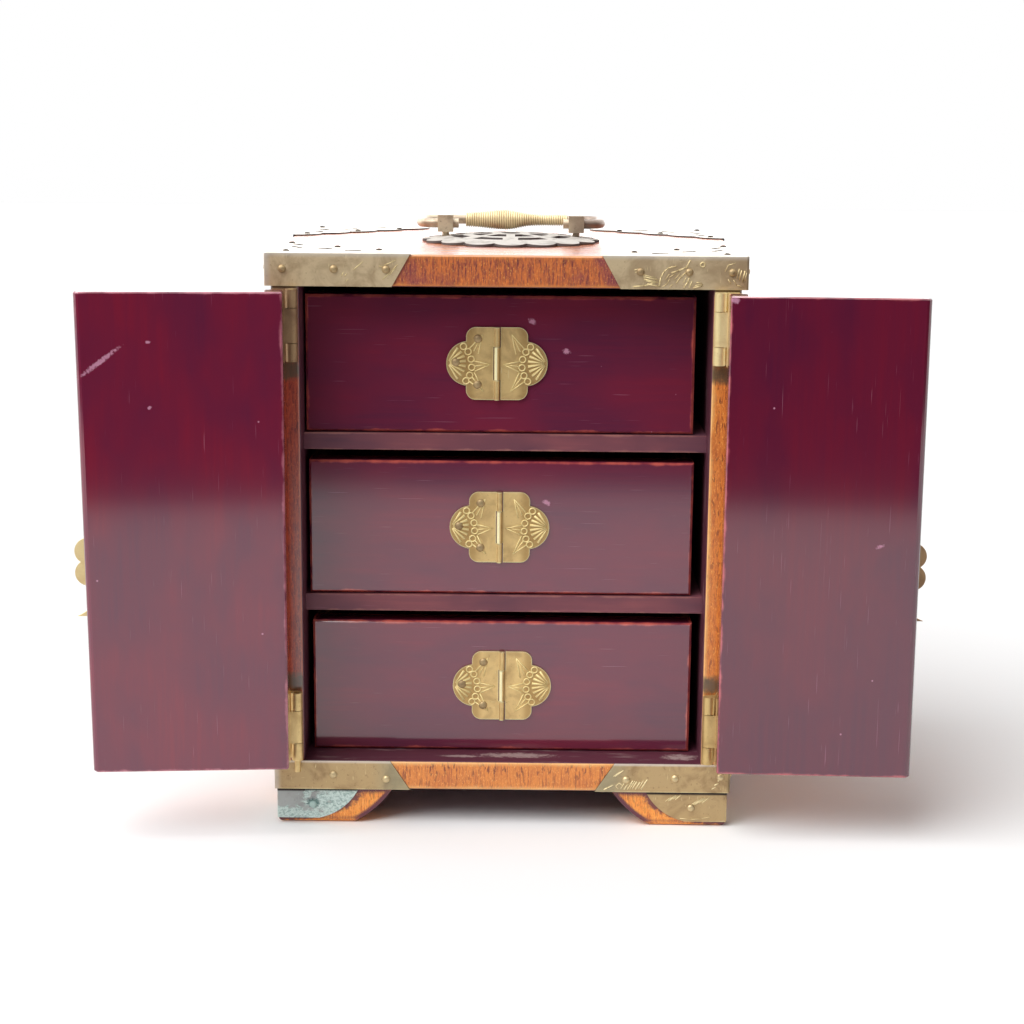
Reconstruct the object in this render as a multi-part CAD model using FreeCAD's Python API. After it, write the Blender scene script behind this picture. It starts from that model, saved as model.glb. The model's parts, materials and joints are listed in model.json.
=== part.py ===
import FreeCAD, Part
import math
import os

# Brass-bound hardwood jewellery box: a small cabinet with two inset doors, three
# drawers, bracket feet and a folding carrying handle, shown with its doors open.
# Millimetres. X to the viewer's right, Y from front to back, Z up, floor at Z = 0.
# The origin lies on the floor under the middle of the open cabinet.

V = FreeCAD.Vector

# Carcase
BAY_WIDTH = 141.6
OPENING_HEIGHT = 169.5
BAY_COUNT = 3
CASE_DEPTH = 137.0
SIDE_THICK = 9.5
SHELF_THICK = 6.0
SHELF_DADO = 3.0
BACK_THICK = 6.0
BACK_INSET = 0.8
BACK_RABBET = 4.0
TOP_THICK = 11.0
TOP_OVERHANG = 1.7
BASE_THICK = 10.5
BASE_OVERHANG = 0.8
BOARD_ARRIS = 0.6

# Bracket feet
FOOT_HEIGHT = 13.0
FOOT_INSET = 0.8
FOOT_THICK = 9.0
FOOT_LENGTH = 41.0
FOOT_SOLE_LENGTH = 26.5
FOOT_BULGE = 0.9
FOOT_ROUND = 1.8

# Sheet-brass corner mounts
SHEET = 0.5
MOUNT_ROUND = 0.45
TOP_MOUNT_LENGTH = 49.5
TOP_MOUNT_SLANT = 6.5
TOP_MOUNT_SCALLOPS = 5
TOP_MOUNT_SCALLOP_RISE = 2.8
BASE_MOUNT_LENGTH = 48.0
BASE_MOUNT_SLANT = 7.0
FOOT_MOUNT_LENGTH = 28.8
FOOT_MOUNT_TOE = 14.5
FOOT_MOUNT_CURVE_IN = 20.5
FOOT_MOUNT_CURVE_HEIGHT = 4.1

# Drawers
DRAWER_SETBACK = 13.4
DRAWER_SIDE_CLEAR = 2.7
DRAWER_TOP_CLEAR = 4.0
DRAWER_FRONT_THICK = 9.0
DRAWER_SIDE_THICK = 5.0
DRAWER_BOTTOM_THICK = 4.0
DRAWER_ARRIS = 0.8
DRAWER_LIFT = 0.3
DRAWER_BACK_GAP = 2.0
SHELF_PROUD = 1.0
DRAWER_SIDE_SHIFT = {"lower": -0.5, "middle": -1.3, "upper": -2.0}

# Hinged drawer pulls
PULL_HALF_HEIGHT = 12.75
PULL_BODY = 10.8
PULL_CORNER = 3.4
PULL_LOBE_RADIUS = 7.8
PULL_LOBE_CENTRE = 9.9
PULL_SHEET = 0.8
PULL_KNUCKLE_RADIUS = 0.95
PULL_KNUCKLE_CLEAR = 0.3
PULL_MIDDLE_KNUCKLE = 11.4
PULL_PIN_RADIUS = 0.45
PULL_RISE = 0.4
PULL_SIDE_SHIFT = {"lower": 0.0, "middle": -0.5, "upper": -1.1}

# Doors
DOOR_THICK = 9.0
DOOR_SIDE_GAP = 0.5
DOOR_TOP_GAP = 0.8
DOOR_BOTTOM_GAP = 1.2
DOOR_MEETING_GAP = 1.8
DOOR_MEETING_CHAMFER = 1.4
DOOR_ARRIS = 0.5
LEFT_DOOR_ANGLE = 175.5
RIGHT_DOOR_ANGLE = 178.0

# Door hinges
BARREL_RADIUS = 2.1
BARREL_LENGTH = 24.8
BARREL_CLEAR = 0.2
BARREL_INSET = 2.2
MIDDLE_KNUCKLE = 11.8
KNUCKLE_GAP = 0.2
HINGE_PIN_RADIUS = 1.1
HINGE_SHEET = 0.6
LEAF_RELIEF = 0.3
CASE_LEAF_MARGIN = 0.8
CASE_LEAF_TAIL = 7.0
DOOR_LEAF_BODY = 9.6
DOOR_LEAF_CORNER = 3.0
DOOR_LEAF_LOBE_RADIUS = 7.6
DOOR_LEAF_LOBE_CENTRE = 9.0
SLIPPED_PIN_DROP = 4.5

# Drop pulls on the doors
DROP_AXIS_RISE = 2.0
DROP_STANDOFF = {"left": 2.0, "right": 3.4}
DROP_CENTRE = {"left": 5.3, "right": 7.1}
DROP_SHEET = 1.0
DROP_EYE_RADIUS = 1.15
DROP_EYE_LENGTH = 4.6
DROP_LOBE_RADIUS = 4.6
DROP_LOBE_OFFSET = 3.5
DROP_LOBE_DEPTHS = (8.9, 16.6)
DROP_NECK = 2.4
DROP_FOOT_DEPTH = 32.1
DROP_FOOT_HEIGHT = 5.8
DROP_FOOT_HALF = 7.9
DROP_FOOT_HOLLOW = 1.2
STAPLE_BAR_RADIUS = 0.55
STAPLE_LEG = 1.4
STAPLE_PLATE = 0.5
STAPLE_PLATE_RADIUS = 4.2
STAPLE_SIDE_CLEAR = 0.3

# Openwork medallion
MEDALLION_RADIUS = 33.0
MEDALLION_SHEET = 0.8
MEDALLION_LOBES = 16
MEDALLION_LOBE_RISE = 3.4
MEDALLION_RINGS = ((18.0, 22.4, 5.6), (7.6, 14.2, 3.2))
MEDALLION_SPOKES = 8
MEDALLION_CENTRE_RADIUS = 3.6

# Carrying handle
HANDLE_X = 1.0
POST_SPACING = 48.6
POST_WIDTH = 5.7
POST_HEIGHT = 6.2
SHANK_RADIUS = 1.3
SHANK_DEPTH = 6.0
SHANK_CLEAR = 0.1
BAIL_RADIUS = 1.7
BAIL_REACH = 24.0
BAIL_BEND = 5.6
BAIL_SHOULDER = 0.8
BAIL_END_PROUD = 2.0
GRIP_LEFT = 17.5
GRIP_RIGHT = 21.5
GRIP_SWELL_AT = -2.0
GRIP_END_RADIUS = 2.4
GRIP_RADIUS = 3.9
GRIP_REST_GAP = 1.8
GRIP_SWELL = ((2.2, 0.85), (4.4, 0.5), (7.0, 0.14), (9.5, 0.0))

# Radial running clearance of every pin in its bore
RUNNING_CLEAR = 0.05

# Heights worked out from the sizes above
BASE_TOP = FOOT_HEIGHT + BASE_THICK
CEILING = BASE_TOP + OPENING_HEIGHT
BAY_HEIGHT = (OPENING_HEIGHT - (BAY_COUNT - 1) * SHELF_THICK) / BAY_COUNT
TOP = CEILING + TOP_THICK
DOOR_LOW = BASE_TOP + DOOR_BOTTOM_GAP
DOOR_HIGH = CEILING - DOOR_TOP_GAP
DROP_AXIS_HEIGHT = (DOOR_LOW + DOOR_HIGH) / 2 + DROP_AXIS_RISE
DRAWER_HEIGHT = BAY_HEIGHT - DRAWER_LIFT - DRAWER_TOP_CLEAR
BAIL_Z = TOP + MEDALLION_SHEET + GRIP_REST_GAP + GRIP_RADIUS

# Half widths worked out from the sizes above
BAY_HALF = BAY_WIDTH / 2
CASE_HALF = BAY_HALF + SIDE_THICK
TOP_HALF = CASE_HALF + TOP_OVERHANG
BASE_HALF = CASE_HALF + BASE_OVERHANG
FOOT_HALF = BASE_HALF - FOOT_INSET
AXIS_X = BAY_HALF + BARREL_INSET
DRAWER_WIDTH = BAY_WIDTH - 2 * DRAWER_SIDE_CLEAR
BAIL_HALF_WIDTH = POST_SPACING / 2 + POST_WIDTH / 2 + BAIL_SHOULDER + BAIL_BEND
STAPLE_HALF = DROP_EYE_LENGTH / 2 + STAPLE_SIDE_CLEAR + STAPLE_LEG

# Front-to-back places: the open left door reaches furthest forward
AXIS_OUT = BARREL_RADIUS + BARREL_CLEAR
DOOR_REACH = AXIS_X - DOOR_MEETING_GAP / 2 - DOOR_MEETING_CHAMFER
LEFT_DOOR_LEAN = math.radians(180.0 - LEFT_DOOR_ANGLE)
DOOR_SWEEP = DOOR_REACH * math.sin(LEFT_DOOR_LEAN)
DOOR_STAND = (AXIS_OUT + DOOR_THICK) * math.cos(LEFT_DOOR_LEAN)
OPEN_REACH = AXIS_OUT + DOOR_SWEEP + DOOR_STAND
FRONT = (OPEN_REACH - CASE_DEPTH) / 2
BACK = FRONT + CASE_DEPTH
MIDDLE = (FRONT + BACK) / 2
BACK_FACE = BACK - BACK_INSET - BACK_THICK
AXIS_Y = FRONT - AXIS_OUT
DRAWER_FACE = FRONT + DRAWER_SETBACK
PULL_AXIS_OUT = PULL_KNUCKLE_RADIUS + PULL_KNUCKLE_CLEAR
BAY_NAMES = ("lower", "middle", "upper")


# Small building helpers

def box(x0, x1, y0, y1, z0, z1):
    """A block between two corners."""
    return Part.makeBox(x1 - x0, y1 - y0, z1 - z0, V(x0, y0, z0))


def rod(radius, start, end):
    """A round bar between two points."""
    along = end - start
    return Part.makeCylinder(radius, along.Length, start, along)


def outline(start, *steps):
    """A flat face: each step is a point to run to, or an arc's middle and end."""
    edges = []
    here = start
    for step in steps + (start,):
        if isinstance(step, tuple):
            edges.append(Part.Arc(here, step[0], step[1]).toShape())
            here = step[1]
        elif here.distanceToPoint(step) > 1e-7:
            edges.append(Part.LineSegment(here, step).toShape())
            here = step
    return Part.Face(Part.Wire(edges))


def left_of(shape):
    """The mirror image across the cabinet's middle plane."""
    return shape.mirror(V(0, 0, 0), V(1, 0, 0))


def rear_of(shape):
    """The mirror image across the plane halfway from front to back."""
    return shape.mirror(V(0, MIDDLE, 0), V(0, 1, 0))


def four_corners(shape):
    """A right front corner piece at all four corners, by corner name."""
    return {
        "right_front": shape,
        "left_front": left_of(shape),
        "right_rear": rear_of(shape),
        "left_rear": rear_of(left_of(shape)),
    }


def arc_point(centre, radius, degrees):
    """A point on a circle in a level plane."""
    turn = math.radians(degrees)
    return centre + V(radius * math.cos(turn), radius * math.sin(turn), 0)


def eased(shape, width, keep=lambda edge: True):
    """Take the sharp arris off the chosen edges of a board."""
    return shape.makeChamfer(width, [edge for edge in shape.Edges if keep(edge)])


def knocked_round(shape, corner, keep=lambda edge: True):
    """Round the chosen edges that run out from a sheet mount's outer corner."""
    edges = [
        edge for edge in shape.Edges
        if keep(edge) and min(end.Point.distanceToPoint(corner) for end in edge.Vertexes) < 1e-6
    ]
    return shape.makeFillet(MOUNT_ROUND, edges)


def upright(edge):
    """Whether an edge runs straight up."""
    return edge.BoundBox.XLength + edge.BoundBox.YLength < 1e-6


def fused(shapes):
    """One solid from overlapping shapes."""
    return shapes[0].multiFuse(shapes[1:]).removeSplitter()


def save(name, shape):
    """Write one piece, or one group of like pieces, to its own file."""
    shape.exportStep("parts/" + name + ".step")


# Carcase

def bay_floor(index):
    """Height of the floor of a bay, counted from the lowest."""
    return BASE_TOP + index * (BAY_HEIGHT + SHELF_THICK)


def right_side_panel():
    """Upright with a dado for each shelf and a rabbet for the back panel."""
    panel = box(BAY_HALF, CASE_HALF, FRONT, BACK, BASE_TOP, CEILING)
    panel = eased(panel, BOARD_ARRIS, lambda edge: edge.BoundBox.ZLength > BAY_HEIGHT)
    for index in range(1, BAY_COUNT):
        high = bay_floor(index)
        dado = box(
            BAY_HALF, BAY_HALF + SHELF_DADO,
            DRAWER_FACE - SHELF_PROUD, BACK_FACE,
            high - SHELF_THICK, high,
        )
        panel = panel.cut(dado)
    rabbet = box(BAY_HALF, BAY_HALF + BACK_RABBET, BACK_FACE, BACK, BASE_TOP, CEILING)
    return panel.cut(rabbet)


def shelf(index):
    """Dust board under a bay, housed in both uprights."""
    half = BAY_HALF + SHELF_DADO
    high = bay_floor(index)
    return box(-half, half, DRAWER_FACE - SHELF_PROUD, BACK_FACE, high - SHELF_THICK, high)


def back_panel():
    """Panel housed in the uprights' rabbets."""
    half = BAY_HALF + BACK_RABBET
    return box(-half, half, BACK_FACE, BACK_FACE + BACK_THICK, BASE_TOP, CEILING)


def top_board():
    """Lid board with blind holes for the handle posts' shanks."""
    board = eased(box(-TOP_HALF, TOP_HALF, FRONT, BACK, CEILING, TOP), BOARD_ARRIS)
    for side in (-1, 1):
        foot = V(HANDLE_X + side * POST_SPACING / 2, MIDDLE, TOP - SHANK_DEPTH)
        board = board.cut(rod(SHANK_RADIUS + SHANK_CLEAR, foot, foot + V(0, 0, SHANK_DEPTH)))
    return board


def bottom_board():
    """Plinth board that carries the uprights."""
    return eased(box(-BASE_HALF, BASE_HALF, FRONT, BACK, FOOT_HEIGHT, BASE_TOP), BOARD_ARRIS)


# Bracket feet

def foot_profile(place, way):
    """One face of a bracket foot: rounded toe, flat sole and a swelling slope.

    place gives a point at a distance in from the corner and a height; way is the
    direction the profile is drawn through.
    """
    slope_in = (FOOT_LENGTH + FOOT_SOLE_LENGTH) / 2
    face = outline(
        place(0, FOOT_HEIGHT),
        place(FOOT_LENGTH, FOOT_HEIGHT),
        (place(slope_in + FOOT_BULGE, FOOT_HEIGHT / 2 - FOOT_BULGE), place(FOOT_SOLE_LENGTH, 0)),
        place(FOOT_ROUND, 0),
        (place(FOOT_ROUND * (1 - math.sqrt(0.5)), FOOT_ROUND * (1 - math.sqrt(0.5))),
         place(0, FOOT_ROUND)),
    )
    return face.extrude(way)


def foot():
    """Right front bracket foot: two profiles mitred into an L."""
    toe_y = FRONT + FOOT_INSET
    front = foot_profile(lambda d, z: V(FOOT_HALF - d, toe_y, z), V(0, FOOT_LENGTH, 0))
    side = foot_profile(lambda d, z: V(FOOT_HALF, toe_y + d, z), V(-FOOT_LENGTH, 0, 0))
    hollow = box(
        FOOT_HALF - FOOT_LENGTH, FOOT_HALF - FOOT_THICK,
        toe_y + FOOT_THICK, toe_y + FOOT_LENGTH,
        0, FOOT_HEIGHT,
    )
    return front.common(side).cut(hollow)


# Sheet-brass mounts

def foot_mount():
    """Brass shoe round the outer corner of a foot, with a hollow-curved edge."""
    toe_y = FRONT + FOOT_INSET

    def plate(place, way):
        face = outline(
            place(-SHEET, FOOT_HEIGHT),
            place(FOOT_MOUNT_LENGTH, FOOT_HEIGHT),
            (place(FOOT_MOUNT_CURVE_IN, FOOT_MOUNT_CURVE_HEIGHT), place(FOOT_MOUNT_TOE, FOOT_ROUND)),
            place(-SHEET, FOOT_ROUND),
        )
        return face.extrude(way)

    front = plate(lambda d, z: V(FOOT_HALF - d, toe_y, z), V(0, -SHEET, 0))
    side = plate(lambda d, z: V(FOOT_HALF, toe_y + d, z), V(SHEET, 0, 0))
    corner = V(FOOT_HALF + SHEET, toe_y - SHEET, FOOT_HEIGHT)
    return knocked_round(front.fuse(side).removeSplitter(), corner, upright)


def edge_plates(half, low, high, long_low, long_high):
    """Two upright plates round a corner of a board, their ends slanted alike."""
    def face(place):
        return outline(
            place(-SHEET, low), place(long_low, low),
            place(long_high, high), place(-SHEET, high),
        )

    front = face(lambda d, z: V(half - d, FRONT, z)).extrude(V(0, -SHEET, 0))
    side = face(lambda d, z: V(half, FRONT + d, z)).extrude(V(SHEET, 0, 0))
    return front.fuse(side)


def top_mount():
    """Three-faced mount on a corner of the top, its upper plate's slanting edge scalloped."""
    walls = edge_plates(
        TOP_HALF, CEILING, TOP + SHEET,
        TOP_MOUNT_LENGTH - TOP_MOUNT_SLANT, TOP_MOUNT_LENGTH,
    )

    def place(along, inward):
        return V(TOP_HALF - along, FRONT + inward, TOP)

    bulge = TOP_MOUNT_SCALLOP_RISE * math.sqrt(0.5)
    scallops = []
    for index in range(TOP_MOUNT_SCALLOPS):
        crest = TOP_MOUNT_LENGTH * (index + 0.5) / TOP_MOUNT_SCALLOPS
        end = TOP_MOUNT_LENGTH * (index + 1) / TOP_MOUNT_SCALLOPS
        scallops.append((
            place(TOP_MOUNT_LENGTH - crest + bulge, crest + bulge),
            place(TOP_MOUNT_LENGTH - end, end),
        ))
    lid = outline(
        place(-SHEET, -SHEET),
        place(TOP_MOUNT_LENGTH, -SHEET),
        place(TOP_MOUNT_LENGTH, 0),
        *scallops,
        place(-SHEET, TOP_MOUNT_LENGTH),
    ).extrude(V(0, 0, SHEET))
    corner = V(TOP_HALF + SHEET, FRONT - SHEET, TOP + SHEET)
    return knocked_round(walls.fuse(lid).removeSplitter(), corner)


def base_mount():
    """Two-faced mount on a corner of the plinth board."""
    plates = edge_plates(
        BASE_HALF, FOOT_HEIGHT, BASE_TOP,
        BASE_MOUNT_LENGTH, BASE_MOUNT_LENGTH - BASE_MOUNT_SLANT,
    ).removeSplitter()
    return knocked_round(plates, V(BASE_HALF + SHEET, FRONT - SHEET, BASE_TOP), upright)


def medallion():
    """Scalloped openwork plate under the handle."""
    centre = V(HANDLE_X, MIDDLE, TOP)
    valley = MEDALLION_RADIUS - MEDALLION_LOBE_RISE
    lobe = 360.0 / MEDALLION_LOBES
    steps = []
    for index in range(MEDALLION_LOBES):
        crest = arc_point(centre, MEDALLION_RADIUS, index * lobe)
        steps.append((crest, arc_point(centre, valley, (index + 0.5) * lobe)))
    plate = outline(arc_point(centre, valley, -lobe / 2), *steps).extrude(V(0, 0, MEDALLION_SHEET))
    up = V(0, 0, MEDALLION_SHEET)
    cuts = [rod(MEDALLION_CENTRE_RADIUS, centre, centre + up)]
    for inner, outer, spoke in MEDALLION_RINGS:
        ring = rod(outer, centre, centre + up).cut(rod(inner, centre, centre + up))
        for index in range(MEDALLION_SPOKES):
            bar = box(
                HANDLE_X, HANDLE_X + outer * 2, MIDDLE - spoke / 2, MIDDLE + spoke / 2,
                TOP, TOP + MEDALLION_SHEET,
            )
            bar.rotate(centre, V(0, 0, 1), index * 360.0 / MEDALLION_SPOKES)
            ring = ring.cut(bar)
        cuts.append(ring)
    for side in (-1, 1):
        shank = centre + V(side * POST_SPACING / 2, 0, 0)
        cuts.append(rod(SHANK_RADIUS + SHANK_CLEAR, shank, shank + up))
    return plate.cut(Part.makeCompound(cuts))


# Carrying handle

def handle_posts():
    """The pair of square eyes that carry the bail, on shanks let into the top."""
    posts = []
    low = BAIL_Z - POST_HEIGHT / 2
    half = POST_WIDTH / 2
    for side in (-1, 1):
        x = HANDLE_X + side * POST_SPACING / 2
        eye = box(x - half, x + half, MIDDLE - half, MIDDLE + half, low, low + POST_HEIGHT)
        shank = rod(SHANK_RADIUS, V(x, MIDDLE, TOP - SHANK_DEPTH), V(x, MIDDLE, low))
        bore = rod(
            BAIL_RADIUS + RUNNING_CLEAR,
            V(x - half, MIDDLE, BAIL_Z), V(x + half, MIDDLE, BAIL_Z),
        )
        posts.append(eye.fuse(shank).cut(bore).removeSplitter())
    return Part.makeCompound(posts)


def bend(centre, start, way):
    """A quarter bend of the bail's rod: start is the rod's middle, way its direction there."""
    disc = Part.Face(Part.Wire(Part.makeCircle(BAIL_RADIUS, start, way)))
    axis = (start - centre).cross(way)
    return disc.revolve(centre, axis, 90)


def handle_bail():
    """One bent rod: ends turned into the posts, two bends each side, a straight grip bar."""
    inner = POST_SPACING / 2 - POST_WIDTH / 2 - BAIL_END_PROUD
    wide = BAIL_HALF_WIDTH
    straight = BAIL_HALF_WIDTH - BAIL_BEND
    rear = MIDDLE + BAIL_REACH

    def place(x, y):
        return V(HANDLE_X + x, y, BAIL_Z)

    pieces = [rod(BAIL_RADIUS, place(-straight, rear), place(straight, rear))]
    for side in (-1, 1):
        pieces += [
            rod(BAIL_RADIUS, place(side * inner, MIDDLE), place(side * straight, MIDDLE)),
            bend(place(side * straight, MIDDLE + BAIL_BEND), place(side * straight, MIDDLE), V(side, 0, 0)),
            rod(BAIL_RADIUS, place(side * wide, MIDDLE + BAIL_BEND), place(side * wide, rear - BAIL_BEND)),
            bend(place(side * straight, rear - BAIL_BEND), place(side * wide, rear - BAIL_BEND), V(0, 1, 0)),
        ]
    return fused(pieces)


def handle_grip():
    """Sleeve on the bail's rear bar, swelling to a bell; it has slipped along a little."""
    rear = MIDDLE + BAIL_REACH

    def place(x):
        return V(HANDLE_X + x, rear, BAIL_Z)

    gain = GRIP_RADIUS - GRIP_END_RADIUS
    stations = [(-GRIP_LEFT, GRIP_END_RADIUS)]
    for away, share in reversed(GRIP_SWELL):
        stations.append((GRIP_SWELL_AT - away, GRIP_END_RADIUS + gain * share))
    stations.append((GRIP_SWELL_AT, GRIP_RADIUS))
    for away, share in GRIP_SWELL:
        stations.append((GRIP_SWELL_AT + away, GRIP_END_RADIUS + gain * share))
    stations.append((GRIP_RIGHT, GRIP_END_RADIUS))
    lengths = []
    for (start, wide), (end, next_wide) in zip(stations, stations[1:]):
        if wide == next_wide:
            lengths.append(rod(wide, place(start), place(end)))
        else:
            lengths.append(Part.makeCone(wide, next_wide, end - start, place(start), V(1, 0, 0)))
    bore = rod(BAIL_RADIUS + RUNNING_CLEAR, place(-GRIP_LEFT), place(GRIP_RIGHT))
    return fused(lengths).cut(bore)


# Plates with a scalloped cloud outline, hung on knuckles

def cloud_half(inner, body, half_height, corner, lobe_radius, lobe_centre, middle_z, face_y):
    """Right half of a cloud-shaped plate: square shoulders with one round side lobe."""
    notch = math.sqrt(lobe_radius ** 2 - (body - lobe_centre) ** 2)
    ease = corner * (1 - math.sqrt(0.5))

    def place(x, z):
        return V(x, face_y, middle_z + z)

    return outline(
        place(inner, half_height),
        place(body - corner, half_height),
        (place(body - ease, half_height - ease), place(body, half_height - corner)),
        place(body, notch),
        (place(lobe_centre + lobe_radius, 0), place(body, -notch)),
        place(body, corner - half_height),
        (place(body - ease, ease - half_height), place(body - corner, -half_height)),
        place(inner, -half_height),
    )


def knuckles(radius, spans, x, y, web):
    """Barrel lengths, each with a flat web to its leaf: web is its run, front and back planes."""
    pieces = []
    for low, high in spans:
        pieces.append(rod(radius, V(x, y, low), V(x, y, high)))
        pieces.append(box(x, x + web[0], web[1], web[2], low, high))
    return pieces


# Drawers and their pulls

class Drawer:
    """One drawer: five boards and a hinged brass pull."""

    def __init__(self, name):
        self.name = name
        self.floor = bay_floor(BAY_NAMES.index(name)) + DRAWER_LIFT
        self.x = DRAWER_SIDE_SHIFT[name]
        self.low_x = self.x - DRAWER_WIDTH / 2
        self.high_x = self.x + DRAWER_WIDTH / 2
        self.inside_y = DRAWER_FACE + DRAWER_FRONT_THICK
        self.back_y = BACK_FACE - DRAWER_BACK_GAP
        self.rim = self.floor + DRAWER_HEIGHT
        self.pull_x = self.x + PULL_SIDE_SHIFT[name]
        self.pull_z = self.floor + DRAWER_HEIGHT / 2 + PULL_RISE

    def front(self):
        """Face board with eased arrises all round its show face."""
        board = box(self.low_x, self.high_x, DRAWER_FACE, self.inside_y, self.floor, self.rim)
        return eased(board, DRAWER_ARRIS, lambda edge: edge.BoundBox.YMax < DRAWER_FACE + DRAWER_ARRIS)

    def bottom(self):
        """Board that carries the sides and back."""
        return box(
            self.low_x, self.high_x, self.inside_y, self.back_y,
            self.floor, self.floor + DRAWER_BOTTOM_THICK,
        )

    def frame(self):
        """Two sides with the back board between them."""
        low = self.floor + DRAWER_BOTTOM_THICK
        thick = DRAWER_SIDE_THICK
        return Part.makeCompound([
            box(self.low_x, self.low_x + thick, self.inside_y, self.back_y, low, self.rim),
            box(self.high_x - thick, self.high_x, self.inside_y, self.back_y, low, self.rim),
            box(self.low_x + thick, self.high_x - thick, self.back_y - thick, self.back_y, low, self.rim),
        ])

    def pull_half(self, spans):
        """Right half of the pull, with its own knuckles round the pin's bore."""
        axis_y = DRAWER_FACE - PULL_AXIS_OUT
        inner = PULL_KNUCKLE_RADIUS + PULL_KNUCKLE_CLEAR
        leaf = cloud_half(
            inner, PULL_BODY, PULL_HALF_HEIGHT, PULL_CORNER,
            PULL_LOBE_RADIUS, PULL_LOBE_CENTRE, self.pull_z, DRAWER_FACE,
        ).extrude(V(0, -PULL_SHEET, 0))
        web = (inner + PULL_SHEET, DRAWER_FACE - PULL_SHEET, DRAWER_FACE - PULL_KNUCKLE_CLEAR)
        barrel = knuckles(PULL_KNUCKLE_RADIUS, spans, 0, axis_y, web)
        bore = rod(
            PULL_PIN_RADIUS + RUNNING_CLEAR,
            V(0, axis_y, self.pull_z - PULL_HALF_HEIGHT),
            V(0, axis_y, self.pull_z + PULL_HALF_HEIGHT),
        )
        return fused([leaf] + barrel).cut(bore)

    def placed(self, shape):
        """Carry a pull piece from the middle plane to its own place on the drawer."""
        return shape.translated(V(self.pull_x, 0, 0))

    def pull_tab(self):
        """Right half, which swings out to be gripped."""
        half = PULL_MIDDLE_KNUCKLE / 2
        return self.placed(self.pull_half([(self.pull_z - half, self.pull_z + half)]))

    def pull_plate(self):
        """Left half, nailed to the drawer front."""
        start = PULL_MIDDLE_KNUCKLE / 2 + KNUCKLE_GAP
        spans = [
            (self.pull_z - PULL_HALF_HEIGHT, self.pull_z - start),
            (self.pull_z + start, self.pull_z + PULL_HALF_HEIGHT),
        ]
        return self.placed(left_of(self.pull_half(spans)))

    def pull_pin(self):
        """Wire pin through the pull's knuckles."""
        axis_y = DRAWER_FACE - PULL_AXIS_OUT
        low = V(0, axis_y, self.pull_z - PULL_HALF_HEIGHT)
        return self.placed(rod(PULL_PIN_RADIUS, low, low + V(0, 0, 2 * PULL_HALF_HEIGHT)))

    def save(self):
        """Write the drawer's pieces."""
        save(self.name + "_drawer_front", self.front())
        save(self.name + "_drawer_frame", self.frame())
        save(self.name + "_drawer_bottom", self.bottom())
        save(self.name + "_pull_plate", self.pull_plate())
        save(self.name + "_pull_tab", self.pull_tab())
        save(self.name + "_pull_pin", self.pull_pin())


# Door hinges, drawn for the right door while it is closed

HINGE_FEET = {"upper": DOOR_HIGH - BARREL_LENGTH, "lower": DOOR_LOW}


def hinge_spans(low):
    """The barrel's three lengths from its foot up: end, middle, end."""
    middle_low = low + (BARREL_LENGTH - MIDDLE_KNUCKLE) / 2
    middle_high = middle_low + MIDDLE_KNUCKLE
    return [
        (low, middle_low - KNUCKLE_GAP),
        (middle_low, middle_high),
        (middle_high + KNUCKLE_GAP, low + BARREL_LENGTH),
    ]


def hinge_bore(low):
    """Hole for the hinge pin, with its running clearance."""
    foot = V(AXIS_X, AXIS_Y, low)
    return rod(HINGE_PIN_RADIUS + RUNNING_CLEAR, foot, foot + V(0, 0, BARREL_LENGTH))


def hinge_web():
    """A knuckle's web: how far it runs sideways, and its front and back planes."""
    return (BARREL_RADIUS + LEAF_RELIEF + HINGE_SHEET, FRONT - HINGE_SHEET, FRONT - BARREL_CLEAR)


def case_leaf(place):
    """Leaf on the upright's front edge, with the two end knuckles and a slanted tail."""
    low = HINGE_FEET[place]
    high = low + BARREL_LENGTH
    inner = AXIS_X + BARREL_RADIUS + LEAF_RELIEF
    outer = CASE_HALF - CASE_LEAF_MARGIN
    if place == "upper":
        corners = [(inner, high), (outer, high), (outer, low - CASE_LEAF_TAIL), (inner, low)]
    else:
        corners = [(inner, low), (outer, low), (outer, high + CASE_LEAF_TAIL), (inner, high)]
    points = [V(x, FRONT, z) for x, z in corners]
    leaf = outline(*points).extrude(V(0, -HINGE_SHEET, 0))
    first, _, last = hinge_spans(low)
    barrel = knuckles(BARREL_RADIUS, [first, last], AXIS_X, AXIS_Y, hinge_web())
    return fused([leaf] + barrel).cut(hinge_bore(low))


def door_leaf(place):
    """Cloud-shaped leaf on the door's outer face, with the middle knuckle."""
    low = HINGE_FEET[place]
    leaf = cloud_half(
        BARREL_RADIUS + LEAF_RELIEF, DOOR_LEAF_BODY, BARREL_LENGTH / 2, DOOR_LEAF_CORNER,
        DOOR_LEAF_LOBE_RADIUS, DOOR_LEAF_LOBE_CENTRE, low + BARREL_LENGTH / 2, FRONT,
    ).extrude(V(0, -HINGE_SHEET, 0))
    barrel = knuckles(BARREL_RADIUS, [hinge_spans(low)[1]], 0, AXIS_Y, hinge_web())
    leaf = left_of(fused([leaf] + barrel)).translated(V(AXIS_X, 0, 0))
    return leaf.cut(hinge_bore(low))


def hinge_pin(side, place):
    """Pin through one barrel; the lower left one has slipped down a little."""
    drop = SLIPPED_PIN_DROP if (side, place) == ("left", "lower") else 0.0
    foot = V(AXIS_X, AXIS_Y, HINGE_FEET[place] - drop)
    pin = rod(HINGE_PIN_RADIUS, foot, foot + V(0, 0, BARREL_LENGTH))
    return left_of(pin) if side == "left" else pin


# Doors and their drop pulls, drawn for the right door while it is closed

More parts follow.
